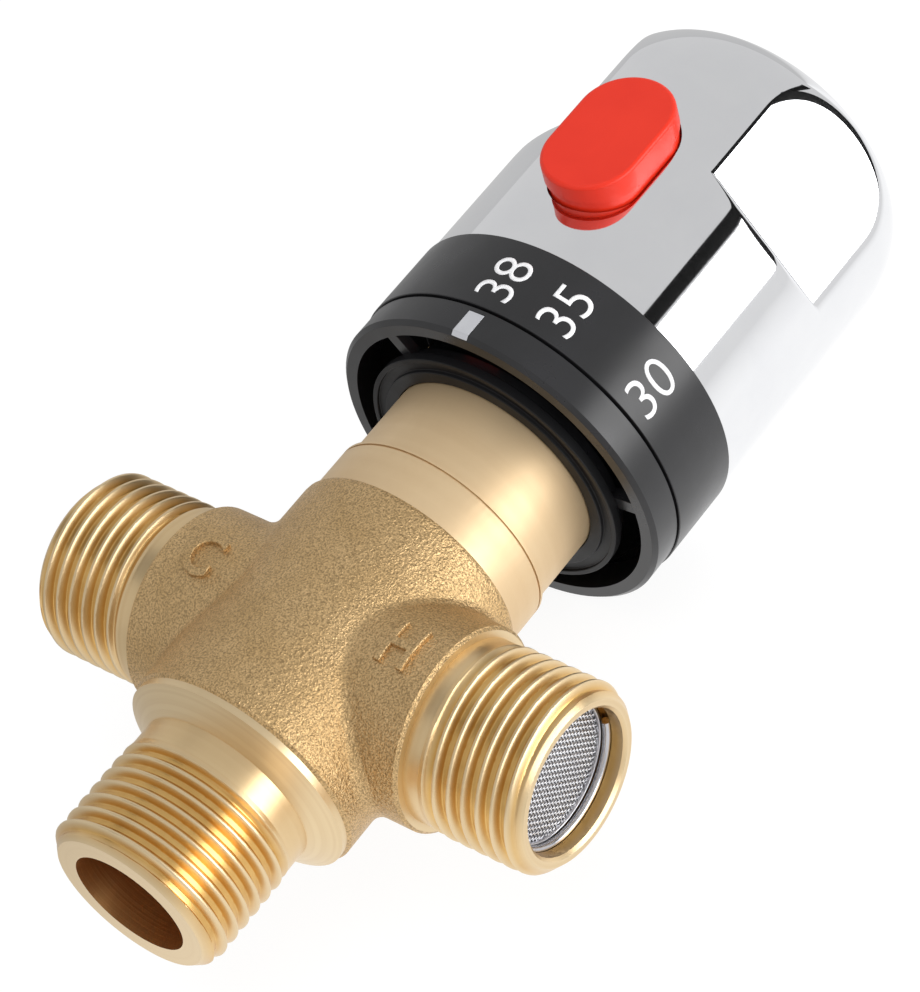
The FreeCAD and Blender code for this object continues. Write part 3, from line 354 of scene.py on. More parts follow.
def about_axis(tree, along):
    """Place along the "barrel" or "inlet" axis, and distance from it."""
    place = node(tree, "ShaderNodeTexCoord").outputs["Object"]
    axes = node(tree, "ShaderNodeSeparateXYZ", {0: place}).outputs
    if along == "barrel":
        axis, side = axes["X"], axes["Y"]
    else:
        axis, side = axes["Y"], math_node(tree, "SUBTRACT", axes["X"], INLET_X)
    squares = [math_node(tree, "POWER", math_node(tree, "ABSOLUTE", across), 2.0)
               for across in (side, axes["Z"])]
    return axis, math_node(tree, "SQRT", math_node(tree, "ADD", *squares))


def turned(name, light, dark, roughness, along, spacing, depth, metallic=1.0):
    """A lathe-turned metal face; along is "barrel" or "inlet", the axis that it was turned on."""
    material, tree, shader = start_material(name, metallic)
    place_on_face = math_node(tree, "ADD", *about_axis(tree, along))
    marks = use_group(tree, MARKS, Along=place_on_face, Spacing=spacing)
    smudge = use_group(tree, SMUDGES, Size=9 * MM)["Mask"]
    tone = math_node(tree, "MULTIPLY", math_node(tree, "ADD", marks["Tone"], smudge), 0.5)
    colour = mix_colours(tree, tone, (*light, 1), (*dark, 1))
    rough = spread(tree, tone, roughness * 0.85, roughness * 1.2)
    finish_with(tree, shader, colour, rough, marks["Height"], depth)
    return material


GROOVE_TO_CREST = (0.75 * MM, 0.08 * MM)
WORN_END = 1.2 * MM


def threaded(name, along, mouth, inward):
    """Cut thread: worn pale crests and end face, and grooves painted darker gold as shade."""
    material, tree, shader = start_material(name, 1.0)
    axis, radius = about_axis(tree, along)
    marks = use_group(tree, MARKS, Along=math_node(tree, "ADD", axis, radius),
                      Spacing=0.05 * MM)
    smudge = use_group(tree, SMUDGES, Size=5 * MM)["Mask"]
    deep, shallow = GROOVE_TO_CREST
    crest = node(tree, "ShaderNodeMapRange", {0: radius, 1: THREAD_R - deep,
                                              2: THREAD_R - shallow}).outputs[0]
    at_end = node(tree, "ShaderNodeMapRange", {
        0: math_node(tree, "ABSOLUTE", axis), 1: mouth, 2: mouth + inward * WORN_END,
        3: 1.0, 4: 0.0}).outputs[0]
    crest = math_node(tree, "MAXIMUM", crest, at_end)
    # The grooves' deeper, darker gold is painted shade in the recesses; the pale crests and end
    # face are wear.
    groove_painted_shade = mix_colours(tree, smudge, (0.78, 0.50, 0.18, 1), (0.62, 0.36, 0.11, 1))
    crest_colour = mix_colours(tree, marks["Tone"], (0.84, 0.67, 0.42, 1), (0.74, 0.56, 0.33, 1))
    colour = mix_colours(tree, crest, groove_painted_shade, crest_colour)
    rough = spread(tree, crest, 0.30, 0.36)
    finish_with(tree, shader, colour, rough, marks["Height"], 0.003 * MM)
    return material

# %% Brass: cast, turned, threaded and bored, with painted shade in the thread grooves and the bore
CAST_BRASS = grained("cast_brass", (0.775, 0.535, 0.27), (0.655, 0.44, 0.205), 0.44, 0.46 * MM,
                     0.30 * MM, metallic=0.9, speckle=0.9)
TURNED_BRASS = turned("turned_brass", (0.74, 0.56, 0.34), (0.66, 0.48, 0.28), 0.46, "barrel",
                      0.10 * MM, 0.004 * MM, metallic=0.7)
INLET_BRASS = threaded("turned_inlet_brass", "inlet", INLET_REACH, -1)
OUTLET_BRASS = threaded("turned_outlet_brass", "barrel", 0.0, 1)
# The bore brass has tool rings, and its deeper, darker colour is painted shade inside the bore.
BORE_SHADE_BRASS = turned("bored_brass_painted_shade", (0.88, 0.52, 0.22), (0.70, 0.38, 0.14), 0.36, "barrel",
                    0.35 * MM, 0.012 * MM)

# %% Plastics, rubber, steel, paint and plating
BLACK_RING = grained("black_ring", (0.016, 0.016, 0.018), (0.011, 0.011, 0.012), 0.30,
                     0.12 * MM, 0.0012 * MM, specular=0.5, speckle=0.1)
BLACK_MATT = grained("black_matt", (0.008, 0.008, 0.009), (0.005, 0.005, 0.006), 0.50,
                     0.2 * MM, 0.008 * MM, specular=0.28, speckle=0.2)
RED_BUTTON = grained("red_button", (0.74, 0.030, 0.010), (0.70, 0.025, 0.008), 0.34,
                     0.25 * MM, 0.0012 * MM, specular=0.32, speckle=0.04)
NUMBER_PAINT = grained("number_paint", (0.86, 0.86, 0.87), (0.80, 0.80, 0.82), 0.5,
                       0.1 * MM, 0.004 * MM, speckle=0.05)
MARK_FOIL = grained("mark_foil", (0.78, 0.79, 0.82), (0.66, 0.67, 0.71), 0.36, 0.15 * MM,
                    0.003 * MM, metallic=0.85, speckle=0.1)
WHITE_PLASTIC = grained("white_plastic", (0.80, 0.80, 0.77), (0.72, 0.72, 0.68), 0.4,
                        0.3 * MM, 0.003 * MM, speckle=0.05)
RUBBER = grained("rubber", (0.02, 0.02, 0.02), (0.012, 0.012, 0.012), 0.6, 0.15 * MM,
                 0.004 * MM, speckle=0.2)
STEEL = grained("steel", (0.62, 0.62, 0.64), (0.52, 0.52, 0.55), 0.24, 0.2 * MM, 0.0015 * MM,
                metallic=1.0, speckle=0.15)
MESH_STEEL = grained("mesh_steel", (0.74, 0.74, 0.76), (0.62, 0.62, 0.65), 0.34, 0.3 * MM,
                     0.002 * MM, metallic=1.0, speckle=0.1)
INNER_BRASS = turned("inner_brass", (0.78, 0.60, 0.33), (0.66, 0.47, 0.23), 0.28, "barrel",
                     0.2 * MM, 0.004 * MM)
CHROME = grained("chrome", (0.86, 0.865, 0.88), (0.83, 0.835, 0.855), 0.045, 8.0 * MM,
                 0.002 * MM, metallic=1.0, speckle=0.0)
print("materials:", len(bpy.data.materials))

# %% [markdown]
# ## The camera
#
# The camera stands about 38 cm away with a long lens, above the outlet and to the hot side,
# and is rolled so that the valve lies across the picture from lower left to upper right. Its
# three axes are written as rows: to its right, up, and back towards the viewer.

# %% Camera
CAMERA_PLACE = Vector((-112.83, -200.20, 289.68)) * MM
CAMERA_RIGHT = Vector((0.57742, -0.78992, -0.20642))
CAMERA_UP = Vector((0.68918, 0.33602, 0.64197))
CAMERA_BACK = CAMERA_RIGHT.cross(CAMERA_UP)
FOCAL_LENGTH = 132.35

camera = bpy.data.objects.new("camera", bpy.data.cameras.new("camera"))
camera.data.lens = FOCAL_LENGTH
camera.data.sensor_width = 36.0
camera.data.clip_start, camera.data.clip_end = 0.01, 10.0
turn = Matrix((CAMERA_RIGHT, CAMERA_UP, CAMERA_BACK)).transposed().to_4x4()
camera.matrix_world = Matrix.Translation(CAMERA_PLACE) @ turn
bpy.context.scene.collection.objects.link(camera)
bpy.context.scene.camera = camera
print("camera at", tuple(round(v, 3) for v in CAMERA_PLACE))

# %% [markdown]
# ## Screw threads
#
# The body is a brass casting whose ends were turned and threaded on a lathe. The CAD has plain
# cylinders where the threads go. A thread could be a groove swept along a helix and cut away,
# but such a cut leaves ragged faces where its sides run out. Here each threaded end is a
# closed sleeve of rings instead. A rule gives the radius at every place along and round it:
# crest, flank and root by how far the helix has turned, a chamfer at the mouth, and a fade
# into the plain turned length behind the thread, as where a die stops.

# %% A threaded sleeve
PITCH = 25.4 * MM / 14
THREAD_DEPTH = 0.85 * MM
END_CHAMFER = 1.35 * MM
RELIEF_STEP = 0.25 * MM
SLEEVE_BORE_R = 9.0 * MM
SLEEVE_SEGMENTS = 144
ROWS_PER_PITCH = 30


def thread_depth(x, angle):
    """Share of the full depth: 0 on the crests, 1 in the roots, both slightly rounded."""
    turns = x / PITCH + angle / (2 * pi)
    from_root = abs(2 * (turns % 1.0) - 1)
    flank = min(1.0, max(0.0, (0.88 - from_root) / 0.58))
    return (flank + flank * flank * (3 - 2 * flank)) / 2


def sleeve_radius(inward, x, angle, thread_length):
    """Outer radius at a distance inward from the sleeve's mouth."""
    if inward > thread_length:
        return THREAD_R - RELIEF_STEP
    fade = min(1.0, (thread_length - inward) / (0.7 * PITCH))
    thread = THREAD_R - max(RELIEF_STEP * (1 - fade),
                            THREAD_DEPTH * thread_depth(x, angle) * fade)
    return min(thread, THREAD_R - max(0.0, END_CHAMFER - inward))


def threaded_sleeve(mouth, direction, thread_length, relief_length, to_world):
    """A closed sleeve made along X from its mouth, then put in place."""
    mesh = bmesh.new()
    step = PITCH / ROWS_PER_PITCH
    short_step = 0.02 * MM
    places = [k * step for k in range(int(thread_length / step) + 1)]
    places += [thread_length, thread_length + short_step, thread_length + relief_length]
    rings = []
    for inward in places:
        x = mouth + direction * inward
        rings.append(ring(mesh, x, lambda a, i=inward, x=x: sleeve_radius(
            i, x, a, thread_length), SLEEVE_SEGMENTS))
    for inward in (places[-1], 0.0):
        rings.append(ring(mesh, mouth + direction * inward, lambda a: SLEEVE_BORE_R,
                          SLEEVE_SEGMENTS))
    for first, second in zip(rings, rings[1:] + rings[:1]):
        bridge(mesh, first, second)
    bmesh.ops.transform(mesh, matrix=to_world, verts=mesh.verts)
    bmesh.ops.recalc_face_normals(mesh, faces=mesh.faces)
    return mesh


def inlet_frame(side):
    """From a piece made along +X to the hot or cold inlet."""
    return Matrix.Translation((INLET_X, 0, 0)) @ Matrix.Rotation(side * pi / 2, 4, "Z")


outlet_thread = mounts["mixed_outlet"]["dims"]["length_mm"] * MM + END_CHAMFER
inlet_thread = mounts["hot_inlet"]["dims"]["length_mm"] * MM + END_CHAMFER
OUTLET_RELIEF, INLET_RELIEF = 2.9 * MM, 1.9 * MM
ends = {
    "outlet": (0.0, 1, outlet_thread, OUTLET_RELIEF, Matrix.Identity(4), OUTLET_BRASS),
    "hot": (INLET_REACH, -1, inlet_thread, INLET_RELIEF, inlet_frame(HOT), INLET_BRASS),
    "cold": (INLET_REACH, -1, inlet_thread, INLET_RELIEF, inlet_frame(COLD), INLET_BRASS),
}
for name, (*sizes, to_world, material) in ends.items():
    data = to_mesh(threaded_sleeve(*sizes, to_world), name + "_thread")
    data.set_sharp_from_angle(angle=radians(42))
    add_piece(name + "_thread", data, "fixed_body", [material])
    print(name, "thread faces:", len(data.polygons))

# %% [markdown]
# ## The casting
#
# A welded copy of the casting has ring-shaped rooms cut out where the sleeves go, so that
# nothing is drawn twice, and a fine tool line is cut near the end of the turned band. Each of
# its faces then gets the brass that its place calls for: cast skin in the middle, turned faces
# at the ends, and on the bore and the deep faces that look inwards a darker brass that is
# painted shade.

# %% Trim the casting where the sleeves go, then tell cast skin from turned faces
SLEEVE_END_GAP = 0.01 * MM
ROOM_MARGIN = 3 * MM


def sleeve_room(mouth, direction, length, to_world):
    """The ring-shaped room that a sleeve takes out of the casting."""
    outer = THREAD_R + ROOM_MARGIN
    inner_end = mouth + direction * (length - SLEEVE_END_GAP)
    beyond = mouth - direction * 2 * MM
    return lathe([(beyond, SLEEVE_BORE_R), (beyond, outer), (inner_end, outer),
                  (inner_end, SLEEVE_BORE_R)], to_world, SLEEVE_SEGMENTS)


body_data = to_mesh(clean_copy("valve_body", flatten=False), "valve_body")
for mouth, direction, thread, relief, to_world, _ in ends.values():
    room = sleeve_room(mouth, direction, thread + relief, to_world)
    body_data = carved(body_data, to_mesh(room, "room"))
LINE_X0, LINE_X1 = 53.2 * MM, 53.45 * MM
LINE_ROOT_R, OUTSIDE_R = 13.05 * MM, 15 * MM
tool_line = lathe([(LINE_X0, LINE_ROOT_R), (LINE_X0, OUTSIDE_R), (LINE_X1, OUTSIDE_R),
                   (LINE_X1, LINE_ROOT_R)], Matrix.Identity(4), SLEEVE_SEGMENTS)
body_data = carved(body_data, to_mesh(tool_line, "tool_line"))

CAST, TURNED, INLET_TURNED, OUTLET_TURNED, BORE_AND_INSIDE_SHADE = range(5)
CAST_START = 18.6 * MM
CAST_END = 47.9 * MM
INLET_CAST_END = 18.15 * MM
OUTLET_BORE_R = mounts["outlet_bore"]["dims"]["r_mm"] * MM
CHAMBER_REACH, GALLERY_REACH = 12 * MM, 20 * MM


def finish_of(face):
    """Which brass a face of the body has, from where it is and which way it looks."""
    x, y, z = face.center
    outward = face.normal
    from_barrel = hypot(y, z)
    from_inlet = hypot(x - INLET_X, z)
    if abs(y) > INLET_CAST_END:
        return INLET_TURNED
    if x < CAST_START:
        # The outlet's bore takes the bore brass, whose darker colour is painted shade.
        inside = from_barrel < OUTLET_BORE_R + 0.1 * MM and abs(outward.x) < 0.5
        return BORE_AND_INSIDE_SHADE if inside else OUTLET_TURNED
    if x > CAST_END:
        return TURNED
    # Deep faces that look inwards take the darker bore brass too, as painted shade.
    looks_in = outward.y * y + outward.z * z < 0
    deep_inside = from_barrel < CHAMBER_REACH and from_inlet < GALLERY_REACH
    return BORE_AND_INSIDE_SHADE if looks_in and deep_inside else CAST


for face in body_data.polygons:
    face.material_index = finish_of(face)
body_data.shade_smooth()
body_data.set_sharp_from_angle(angle=radians(32))
brass_states = [CAST_BRASS, TURNED_BRASS, INLET_BRASS, OUTLET_BRASS, BORE_SHADE_BRASS]
indices = [face.material_index for face in body_data.polygons]
add_piece("brass_body", body_data, "fixed_body", brass_states,
          replaces=["valve_body"])
body_data.polygons.foreach_set("material_index", indices)
print("brass body faces:", len(body_data.polygons))

# %% [markdown]
# ## Cast letters
#
# An H and a C stand proud of the two cast necks, so that a fitter connects the supplies the
# right way round. Letters on a casting have soft, drafted sides. They start as text with a
# small bevel, become a mesh, and are then bent round the neck so that they sit in its skin.

# %% Raised H and C
LETTER_HEIGHT = 5.1 * MM
LETTER_RISE = 0.34 * MM
LETTER_BEVEL = 0.16 * MM
LETTER_PLACE = 13.2 * MM
LETTER_SQUEEZE = 0.8
STUB_R = 11.4 * MM
CAPITAL_SHARE = 0.7


def text_mesh(word, height, depth, bevel, resolution=4, thinner=0.0):
    """Text as a mesh about the origin, reading along +X, closed, its edges short enough to bend."""
    curve = bpy.data.curves.new(word, "FONT")
    curve.body = word
    curve.size = height / CAPITAL_SHARE
    curve.align_x = "CENTER"
    curve.align_y = "CENTER"
    curve.extrude = depth
    curve.bevel_depth = bevel
    curve.offset = -thinner
    curve.resolution_u = resolution
    item = bpy.data.objects.new(word, curve)
    bpy.context.scene.collection.objects.link(item)
    bpy.context.view_layer.update()
    data = joined([item], word)
    mesh = bmesh.new()
    mesh.from_mesh(data)
    bmesh.ops.remove_doubles(mesh, verts=mesh.verts, dist=1e-7)
    bmesh.ops.triangulate(mesh, faces=mesh.faces)
    for _ in range(3):
        long_edges = [e for e in mesh.edges if e.calc_length() > height / 8]
        bmesh.ops.subdivide_edges(mesh, edges=long_edges, cuts=1)
        bmesh.ops.triangulate(mesh, faces=mesh.faces)
    for axis in (0, 1):
        places = [v.co[axis] for v in mesh.verts]
        middle = (min(places) + max(places)) / 2
        for vert in mesh.verts:
            vert.co[axis] -= middle
    return mesh


for word, side, name in (("H", HOT, "cast_letter_hot"), ("C", COLD, "cast_letter_cold")):
    letter = text_mesh(word, LETTER_HEIGHT, LETTER_RISE, LETTER_BEVEL)
    for vert in letter.verts:
        angle = vert.co.y / STUB_R
        r = STUB_R + vert.co.z
        y = side * LETTER_PLACE - LETTER_SQUEEZE * vert.co.x
        vert.co = Vector((INLET_X + r * sin(angle), y, r * cos(angle)))
    data = to_mesh(letter, name)
    data.set_sharp_from_angle(angle=radians(50))
    add_piece(name, data, "fixed_body", [CAST_BRASS])
print("cast letters made")

# %% [markdown]
# ## The chromed knob shell
#
# The shell follows a rule: a straight cylinder with a domed end, cut by three flat grips that
# start in a short ramp. For each place along the axis and each angle round it, the surface is
# the nearer of the dome and the flats. Taking a *soft* minimum rounds the edge where they
# meet, as polishing and plating do, and the even grid keeps the reflections smooth. The slot
# for the button is then cut out.

# %% Knob shell sizes
shell_low, shell_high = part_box("knob_shell")
KNOB_R = 20.55 * MM
SHELL_X0, SHELL_X1 = shell_low.x, shell_high.x
DOME_LENGTH, DOME_ROUND = 9.7 * MM, 6.0 * MM
DOME_X0 = SHELL_X1 - DOME_LENGTH
FACET_HEIGHT = KNOB_R - 2.6 * MM
FACET_X = SHELL_X0 + 19.2 * MM
RAMP_SLOPE = 2.6 / 1.8
FINE_STEP, COARSE_STEP, DOME_STEPS = 0.15 * MM, 0.9 * MM, 40
FACET_ANGLES = (57.5, 180.0, -57.5)
CAP_HOLE_R = 4.6 * MM
WALL = 1.8 * MM
EDGE_SOFTNESS = 0.32 * MM
SHELL_SEGMENTS = 360


def soft_min(first, second, softness):
    """The smaller of two values, eased where they are nearly equal."""
    gap = abs(first - second) / softness
    return min(first, second) - softness * log(1 + exp(-gap)) if gap < 30 else min(first, second)


def profile():
    """(x, radius) places along the shell: straight, then domed up to the end face."""
    places = []
    x = SHELL_X0
    while x < DOME_X0 - 0.1 * MM:
        places.append((x, KNOB_R))
        near_ramp = FACET_X - 2.6 * MM < x < FACET_X + 0.7 * MM
        x += FINE_STEP if near_ramp else COARSE_STEP
    for k in range(DOME_STEPS + 1):
        angle = pi / 2 * k / DOME_STEPS
        places.append((DOME_X0 + DOME_LENGTH * sin(angle),
                       KNOB_R - DOME_ROUND * (1 - cos(angle))))
    return places


def shell_radius(x, radius, angle):
    """The dome's radius, or that of the nearest grip flat where it lies further in."""
    ramp = max(0.0, FACET_X - x) * RAMP_SLOPE
    for facet in FACET_ANGLES:
        turn_from = (angle - radians(facet) + pi) % (2 * pi) - pi
        if abs(turn_from) < radians(50):
            flat = (FACET_HEIGHT + ramp) / cos(turn_from)
            radius = soft_min(radius, flat, EDGE_SOFTNESS)
    return radius


# %% Knob shell mesh
shell = bmesh.new()
rings = []
for x, radius in profile():
    rings.append(ring(shell, x, lambda a, x=x, r=radius: shell_radius(x, r, a), SHELL_SEGMENTS))
dome_end_r = KNOB_R - DOME_ROUND
for r in (dome_end_r * 0.9, dome_end_r * 0.7, CAP_HOLE_R + 0.4 * MM, CAP_HOLE_R + 0.1 * MM):
    rings.append(ring(shell, SHELL_X1, lambda a, r=r: r, SHELL_SEGMENTS))
for x in (SHELL_X1 - 0.1 * MM, SHELL_X1 - 1.5 * MM, SHELL_X1 - WALL):
    rings.append(ring(shell, x, lambda a: CAP_HOLE_R, SHELL_SEGMENTS))
rings.append(ring(shell, SHELL_X1 - WALL, lambda a: dome_end_r - WALL, SHELL_SEGMENTS))
inner_dome = [(DOME_X0 + (DOME_LENGTH - WALL) * sin(a), KNOB_R - WALL - (DOME_ROUND - WALL) *
               (1 - cos(a))) for a in (pi / 3, pi / 6, 0.0)]
inner_places = inner_dome + [(FACET_X, KNOB_R - WALL), (FACET_X - 1.8 * MM, KNOB_R - WALL),
                             (SHELL_X0, KNOB_R - WALL)]
for x, radius in inner_places:
    rings.append(ring(shell, x, lambda a, x=x, r=radius: shell_radius(
        x - WALL / 2, r + WALL, a) - WALL, SHELL_SEGMENTS))
for first, second in zip(rings, rings[1:]):
    bridge(shell, first, second)
bridge(shell, rings[-1], rings[0])
bmesh.ops.recalc_face_normals(shell, faces=shell.faces)
print("knob shell faces:", len(shell.faces))

# %% Slot for the button
BUTTON_X = SHELL_X0 + 15.0 * MM
SLOT_LENGTH, SLOT_WIDTH = 17.5 * MM, 11.2 * MM


def obround_outline(length, width, steps=24):
    """A slot's outline about the button's centre: straight sides and round ends."""
    r = width / 2
    half = length / 2 - r
    points = []
    for end in (1, -1):
        for k in range(steps + 1):
            angle = -pi / 2 + pi * k / steps
            points.append((end * (half + r * cos(angle)), end * r * sin(angle)))
    return points


def prism(points, z0, z1):
    """A closed upright prism on an outline."""
    mesh = bmesh.new()
    low = [mesh.verts.new((BUTTON_X + x, y, z0)) for x, y in points]
    high = [mesh.verts.new((BUTTON_X + x, y, z1)) for x, y in points]
    mesh.faces.new(low)
    mesh.faces.new(high)
    for k in range(len(points)):
        mesh.faces.new((low[k - 1], low[k], high[k], high[k - 1]))
    bmesh.ops.recalc_face_normals(mesh, faces=mesh.faces)
    return mesh


slot_cutter = prism(obround_outline(SLOT_LENGTH, SLOT_WIDTH), KNOB_R * 0.7, KNOB_R * 1.1)
shell_data = carved(to_mesh(shell, "knob_shell"), to_mesh(slot_cutter, "slot"))
shell_data.shade_smooth()
shell_data.set_sharp_from_angle(angle=radians(40))
add_piece("chrome_shell", shell_data, "knob", [CHROME], replaces=["knob_shell"])
print("chrome shell faces:", len(shell_data.polygons))

# %% [markdown]
# ## Rings, button and other moulded pieces
#
# These have their true form in the CAD. Each gets a welded copy whose edges are rounded by a
# Bevel modifier, because a real moulded edge is never sharp and its thin highlight is what
# makes it look solid. A Weighted Normal modifier keeps the flat faces flat.

# %% Copies with softened edges
softened = {
    "scale_ring": (BLACK_RING, 0.12 * MM), "index_ring": (BLACK_RING, 0.12 * MM),
    "index_mark": (MARK_FOIL, 0.04 * MM), "stop_ring": (BLACK_MATT, 0.12 * MM),
    "safety_button": (RED_BUTTON, 0.15 * MM), "knob_cap": (CHROME, 0.08 * MM),
    "bonnet": (INNER_BRASS, 0.12 * MM), "knob_carrier": (BLACK_MATT, 0.1 * MM),
}
for node_name, (material, width) in softened.items():
    data = to_mesh(clean_copy(node_name), node_name)
    piece = add_piece(node_name + "_finished", data, body_of[node_name], [material],
                      replaces=[node_name])
    soften(piece, width)
    print(node_name, len(data.polygons), "faces")

# %% [markdown]
# ## Numbers on the scale
#
# The temperatures are pad-printed in white. Each number is text turned into a thin mesh and
# wrapped round the scale ring, with the helper that made the cast letters. They ride on the
# knob.

# %% Printed numbers
scale_low, scale_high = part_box("scale_ring")
SCALE_R = scale_high.z
NUMBER_HEIGHT = 4.55 * MM
INK, THINNER = 0.02 * MM, 0.05 * MM
NUMBER_X = scale_low.x + 4.35 * MM
NUMBERS = {"38": 0.0, "35": -21.5, "30": -55.0}

for word, degrees_round in NUMBERS.items():
    number = text_mesh(word, NUMBER_HEIGHT, INK, 0.0, resolution=6, thinner=THINNER)
    for vert in number.verts:
        angle = radians(degrees_round) + vert.co.y / SCALE_R
        r = SCALE_R + vert.co.z + INK / 2
        vert.co = Vector((NUMBER_X + vert.co.x, r * sin(angle), r * cos(angle)))
    add_piece("number_" + word, to_mesh(number, "number_" + word), "knob",
              [NUMBER_PAINT])
print("numbers:", ", ".join(NUMBERS))

# %% [markdown]
# ## Woven strainers
#
# Behind each inlet's mouth sits a disc of woven stainless wire. Weaving is a rule, so Geometry
# Nodes make it: a row of straight wires along X and one along Y are waved up and down so that
# they pass over and under each other, cut to a disc, and given a round section. One tree with
# named sizes serves both strainers.

# %% Geometry tree for a woven disc
def geometry_tree(name, inputs):
    """An empty geometry tree with named inputs and one geometry output."""
    tree = bpy.data.node_groups.new(name, "GeometryNodeTree")
    for label, (kind, default) in inputs.items():
        socket = tree.interface.new_socket(label, in_out="INPUT", socket_type=kind)
        if default is not None:
            socket.default_value = default
    tree.interface.new_socket("Geometry", in_out="OUTPUT", socket_type="NodeSocketGeometry")
    return tree, node(tree, "NodeGroupInput").outputs, node(tree, "NodeGroupOutput")


def make_weave_tree():
    tree, start, end = geometry_tree("woven_disc", {
        "Radius": ("NodeSocketFloat", 7.4 * MM), "Pitch": ("NodeSocketFloat", 0.5 * MM),
        "Wire radius": ("NodeSocketFloat", 0.11 * MM), "Finish": ("NodeSocketMaterial", None)})
    diameter = math_node(tree, "MULTIPLY", start["Radius"], 2.0)
    count = math_node(tree, "DIVIDE", diameter, start["Pitch"])
    first = math_node(tree, "MULTIPLY", start["Radius"], -1.0)
    sets = []
    for along, across, sign in (("X", "Y", 1.0), ("Y", "X", -1.0)):
        ends = [node(tree, "ShaderNodeCombineXYZ", {along: v}).outputs[0]
                for v in (first, start["Radius"])]
        wire = node(tree, "GeometryNodeCurvePrimitiveLine", {"Start": ends[0], "End": ends[1]})
        steps = math_node(tree, "MULTIPLY", count, 4.0)
        wire = node(tree, "GeometryNodeResampleCurve", {"Curve": wire.outputs[0],
                                                        "Count": steps})
        row_start = node(tree, "ShaderNodeCombineXYZ", {across: first}).outputs[0]
        row_step = node(tree, "ShaderNodeCombineXYZ", {across: start["Pitch"]}).outputs[0]
        row = node(tree, "GeometryNodeMeshLine", {"Count": count, "Start Location": row_start,
                                                  "Offset": row_step})
        wires = node(tree, "GeometryNodeInstanceOnPoints", {"Points": row.outputs[0],
                                                            "Instance": wire.outputs[0]})
        wires = node(tree, "GeometryNodeRealizeInstances", {0: wires.outputs[0]})
        sets.append(waved(tree, wires.outputs[0], start, sign))
    both = node(tree, "GeometryNodeJoinGeometry")
    for item in sets:
        tree.links.new(item, both.inputs[0])
    real = node(tree, "GeometryNodeRealizeInstances", {0: both.outputs[0]})
    done = node(tree, "GeometryNodeSetMaterial", {"Geometry": real.outputs[0],
                                                  "Material": start["Finish"]})
    tree.links.new(done.outputs[0], end.inputs[0])
    return tree


def waved(tree, wires, start, sign):
    """Waves a set of wires over and under the other set, cuts a disc and gives them thickness."""
    place = node(tree, "GeometryNodeInputPosition").outputs[0]
    axes = node(tree, "ShaderNodeSeparateXYZ", {0: place}).outputs
    waves = []
    for axis in ("X", "Y"):
        from_edge = math_node(tree, "ADD", axes[axis], start["Radius"])
        turns = math_node(tree, "DIVIDE", from_edge, start["Pitch"])
        waves.append(math_node(tree, "COSINE", math_node(tree, "MULTIPLY", turns, pi)))
    lift = math_node(tree, "MULTIPLY", math_node(tree, "MULTIPLY", *waves),
                     math_node(tree, "MULTIPLY", start["Wire radius"], sign))
    offset = node(tree, "ShaderNodeCombineXYZ", {"Z": lift}).outputs[0]
    moved = node(tree, "GeometryNodeSetPosition", {"Geometry": wires, "Offset": offset})
    from_centre = node(tree, "ShaderNodeVectorMath", {0: place}, operation="LENGTH")
    outside = node(tree, "FunctionNodeCompare", {0: from_centre.outputs["Value"],
                                                 1: start["Radius"]}, operation="GREATER_THAN")
    kept = node(tree, "GeometryNodeDeleteGeometry", {"Geometry": moved.outputs[0],
                                                     "Selection": outside.outputs[0]})
    section = node(tree, "GeometryNodeCurvePrimitiveCircle", {"Resolution": 5,
                                                              "Radius": start["Wire radius"]})
    solid = node(tree, "GeometryNodeCurveToMesh", {"Curve": kept.outputs[0],
                                                   "Profile Curve": section.outputs[0],
                                                   "Fill Caps": True})
    return solid.outputs[0]

# %% Grow a mesh from a tree
def grown(tree, name, values):
    """Runs a geometry tree on an empty mesh and returns its result as plain mesh data."""
    item = temporary(bpy.data.meshes.new(name))
    modifier = item.modifiers.new(name, "NODES")
    modifier.node_group = tree
    sockets = {s.name: s.identifier for s in tree.interface.items_tree
               if s.item_type == "SOCKET" and s.in_out == "INPUT"}
    for label, value in values.items():
        modifier[sockets[label]] = value
    bpy.context.view_layer.update()
    graph = bpy.context.evaluated_depsgraph_get()
    data = bpy.data.meshes.new_from_object(item.evaluated_get(graph))
    item.modifiers.remove(modifier)
    bpy.data.objects.remove(item)
    return data


def strainer_sizes(name):
    """A strainer's outer radius and its two distances from the valve's axis."""
    low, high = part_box(name + "_strainer")
    return ((high.x - low.x) / 2, *sorted((abs(low.y), abs(high.y))))


weave = make_weave_tree()
MESH_EDGE_GAP, MESH_SETBACK = 0.25 * MM, 0.55 * MM
for name, side in SIDES:
    outer_r, _, depth = strainer_sizes(name)
    data = grown(weave, name + "_woven_mesh", {
        "Radius": outer_r - MESH_EDGE_GAP, "Pitch": 0.44 * MM, "Wire radius": 0.095 * MM,
        "Finish": MESH_STEEL})
    turn_out = Matrix.Rotation(side * -pi / 2, 4, "X")
    place = (INLET_X, side * (depth - MESH_SETBACK), 0)
    data.transform(Matrix.Translation(place) @ turn_out)
    data.shade_smooth()
    add_piece(name + "_woven_mesh", data, "fixed_body", [MESH_STEEL])
    print(name, "woven mesh:", len(data.polygons), "faces")

# %% [markdown]
# ## Strainer rims
#
# The woven disc is held in a thin turned rim. `lathe`, from the helpers above, turns a small
# closed section about the inlet's axis. The rim's wall is thinner than the CAD's.

# %% Turned rims
RIM_WALL = 0.4 * MM
for name, side in SIDES:
    outer_r, u0, u1 = strainer_sizes(name)
    inner_r = outer_r - RIM_WALL
    rim = lathe([(u0, inner_r), (u0, outer_r), (u1, outer_r), (u1, inner_r)],
                inlet_frame(side))
    piece = add_piece(name + "_strainer_rim", to_mesh(rim, name + "_rim"), "fixed_body",
                      [MESH_STEEL], replaces=[name + "_strainer"])
    soften(piece, 0.12 * MM)
print("strainer rims made")

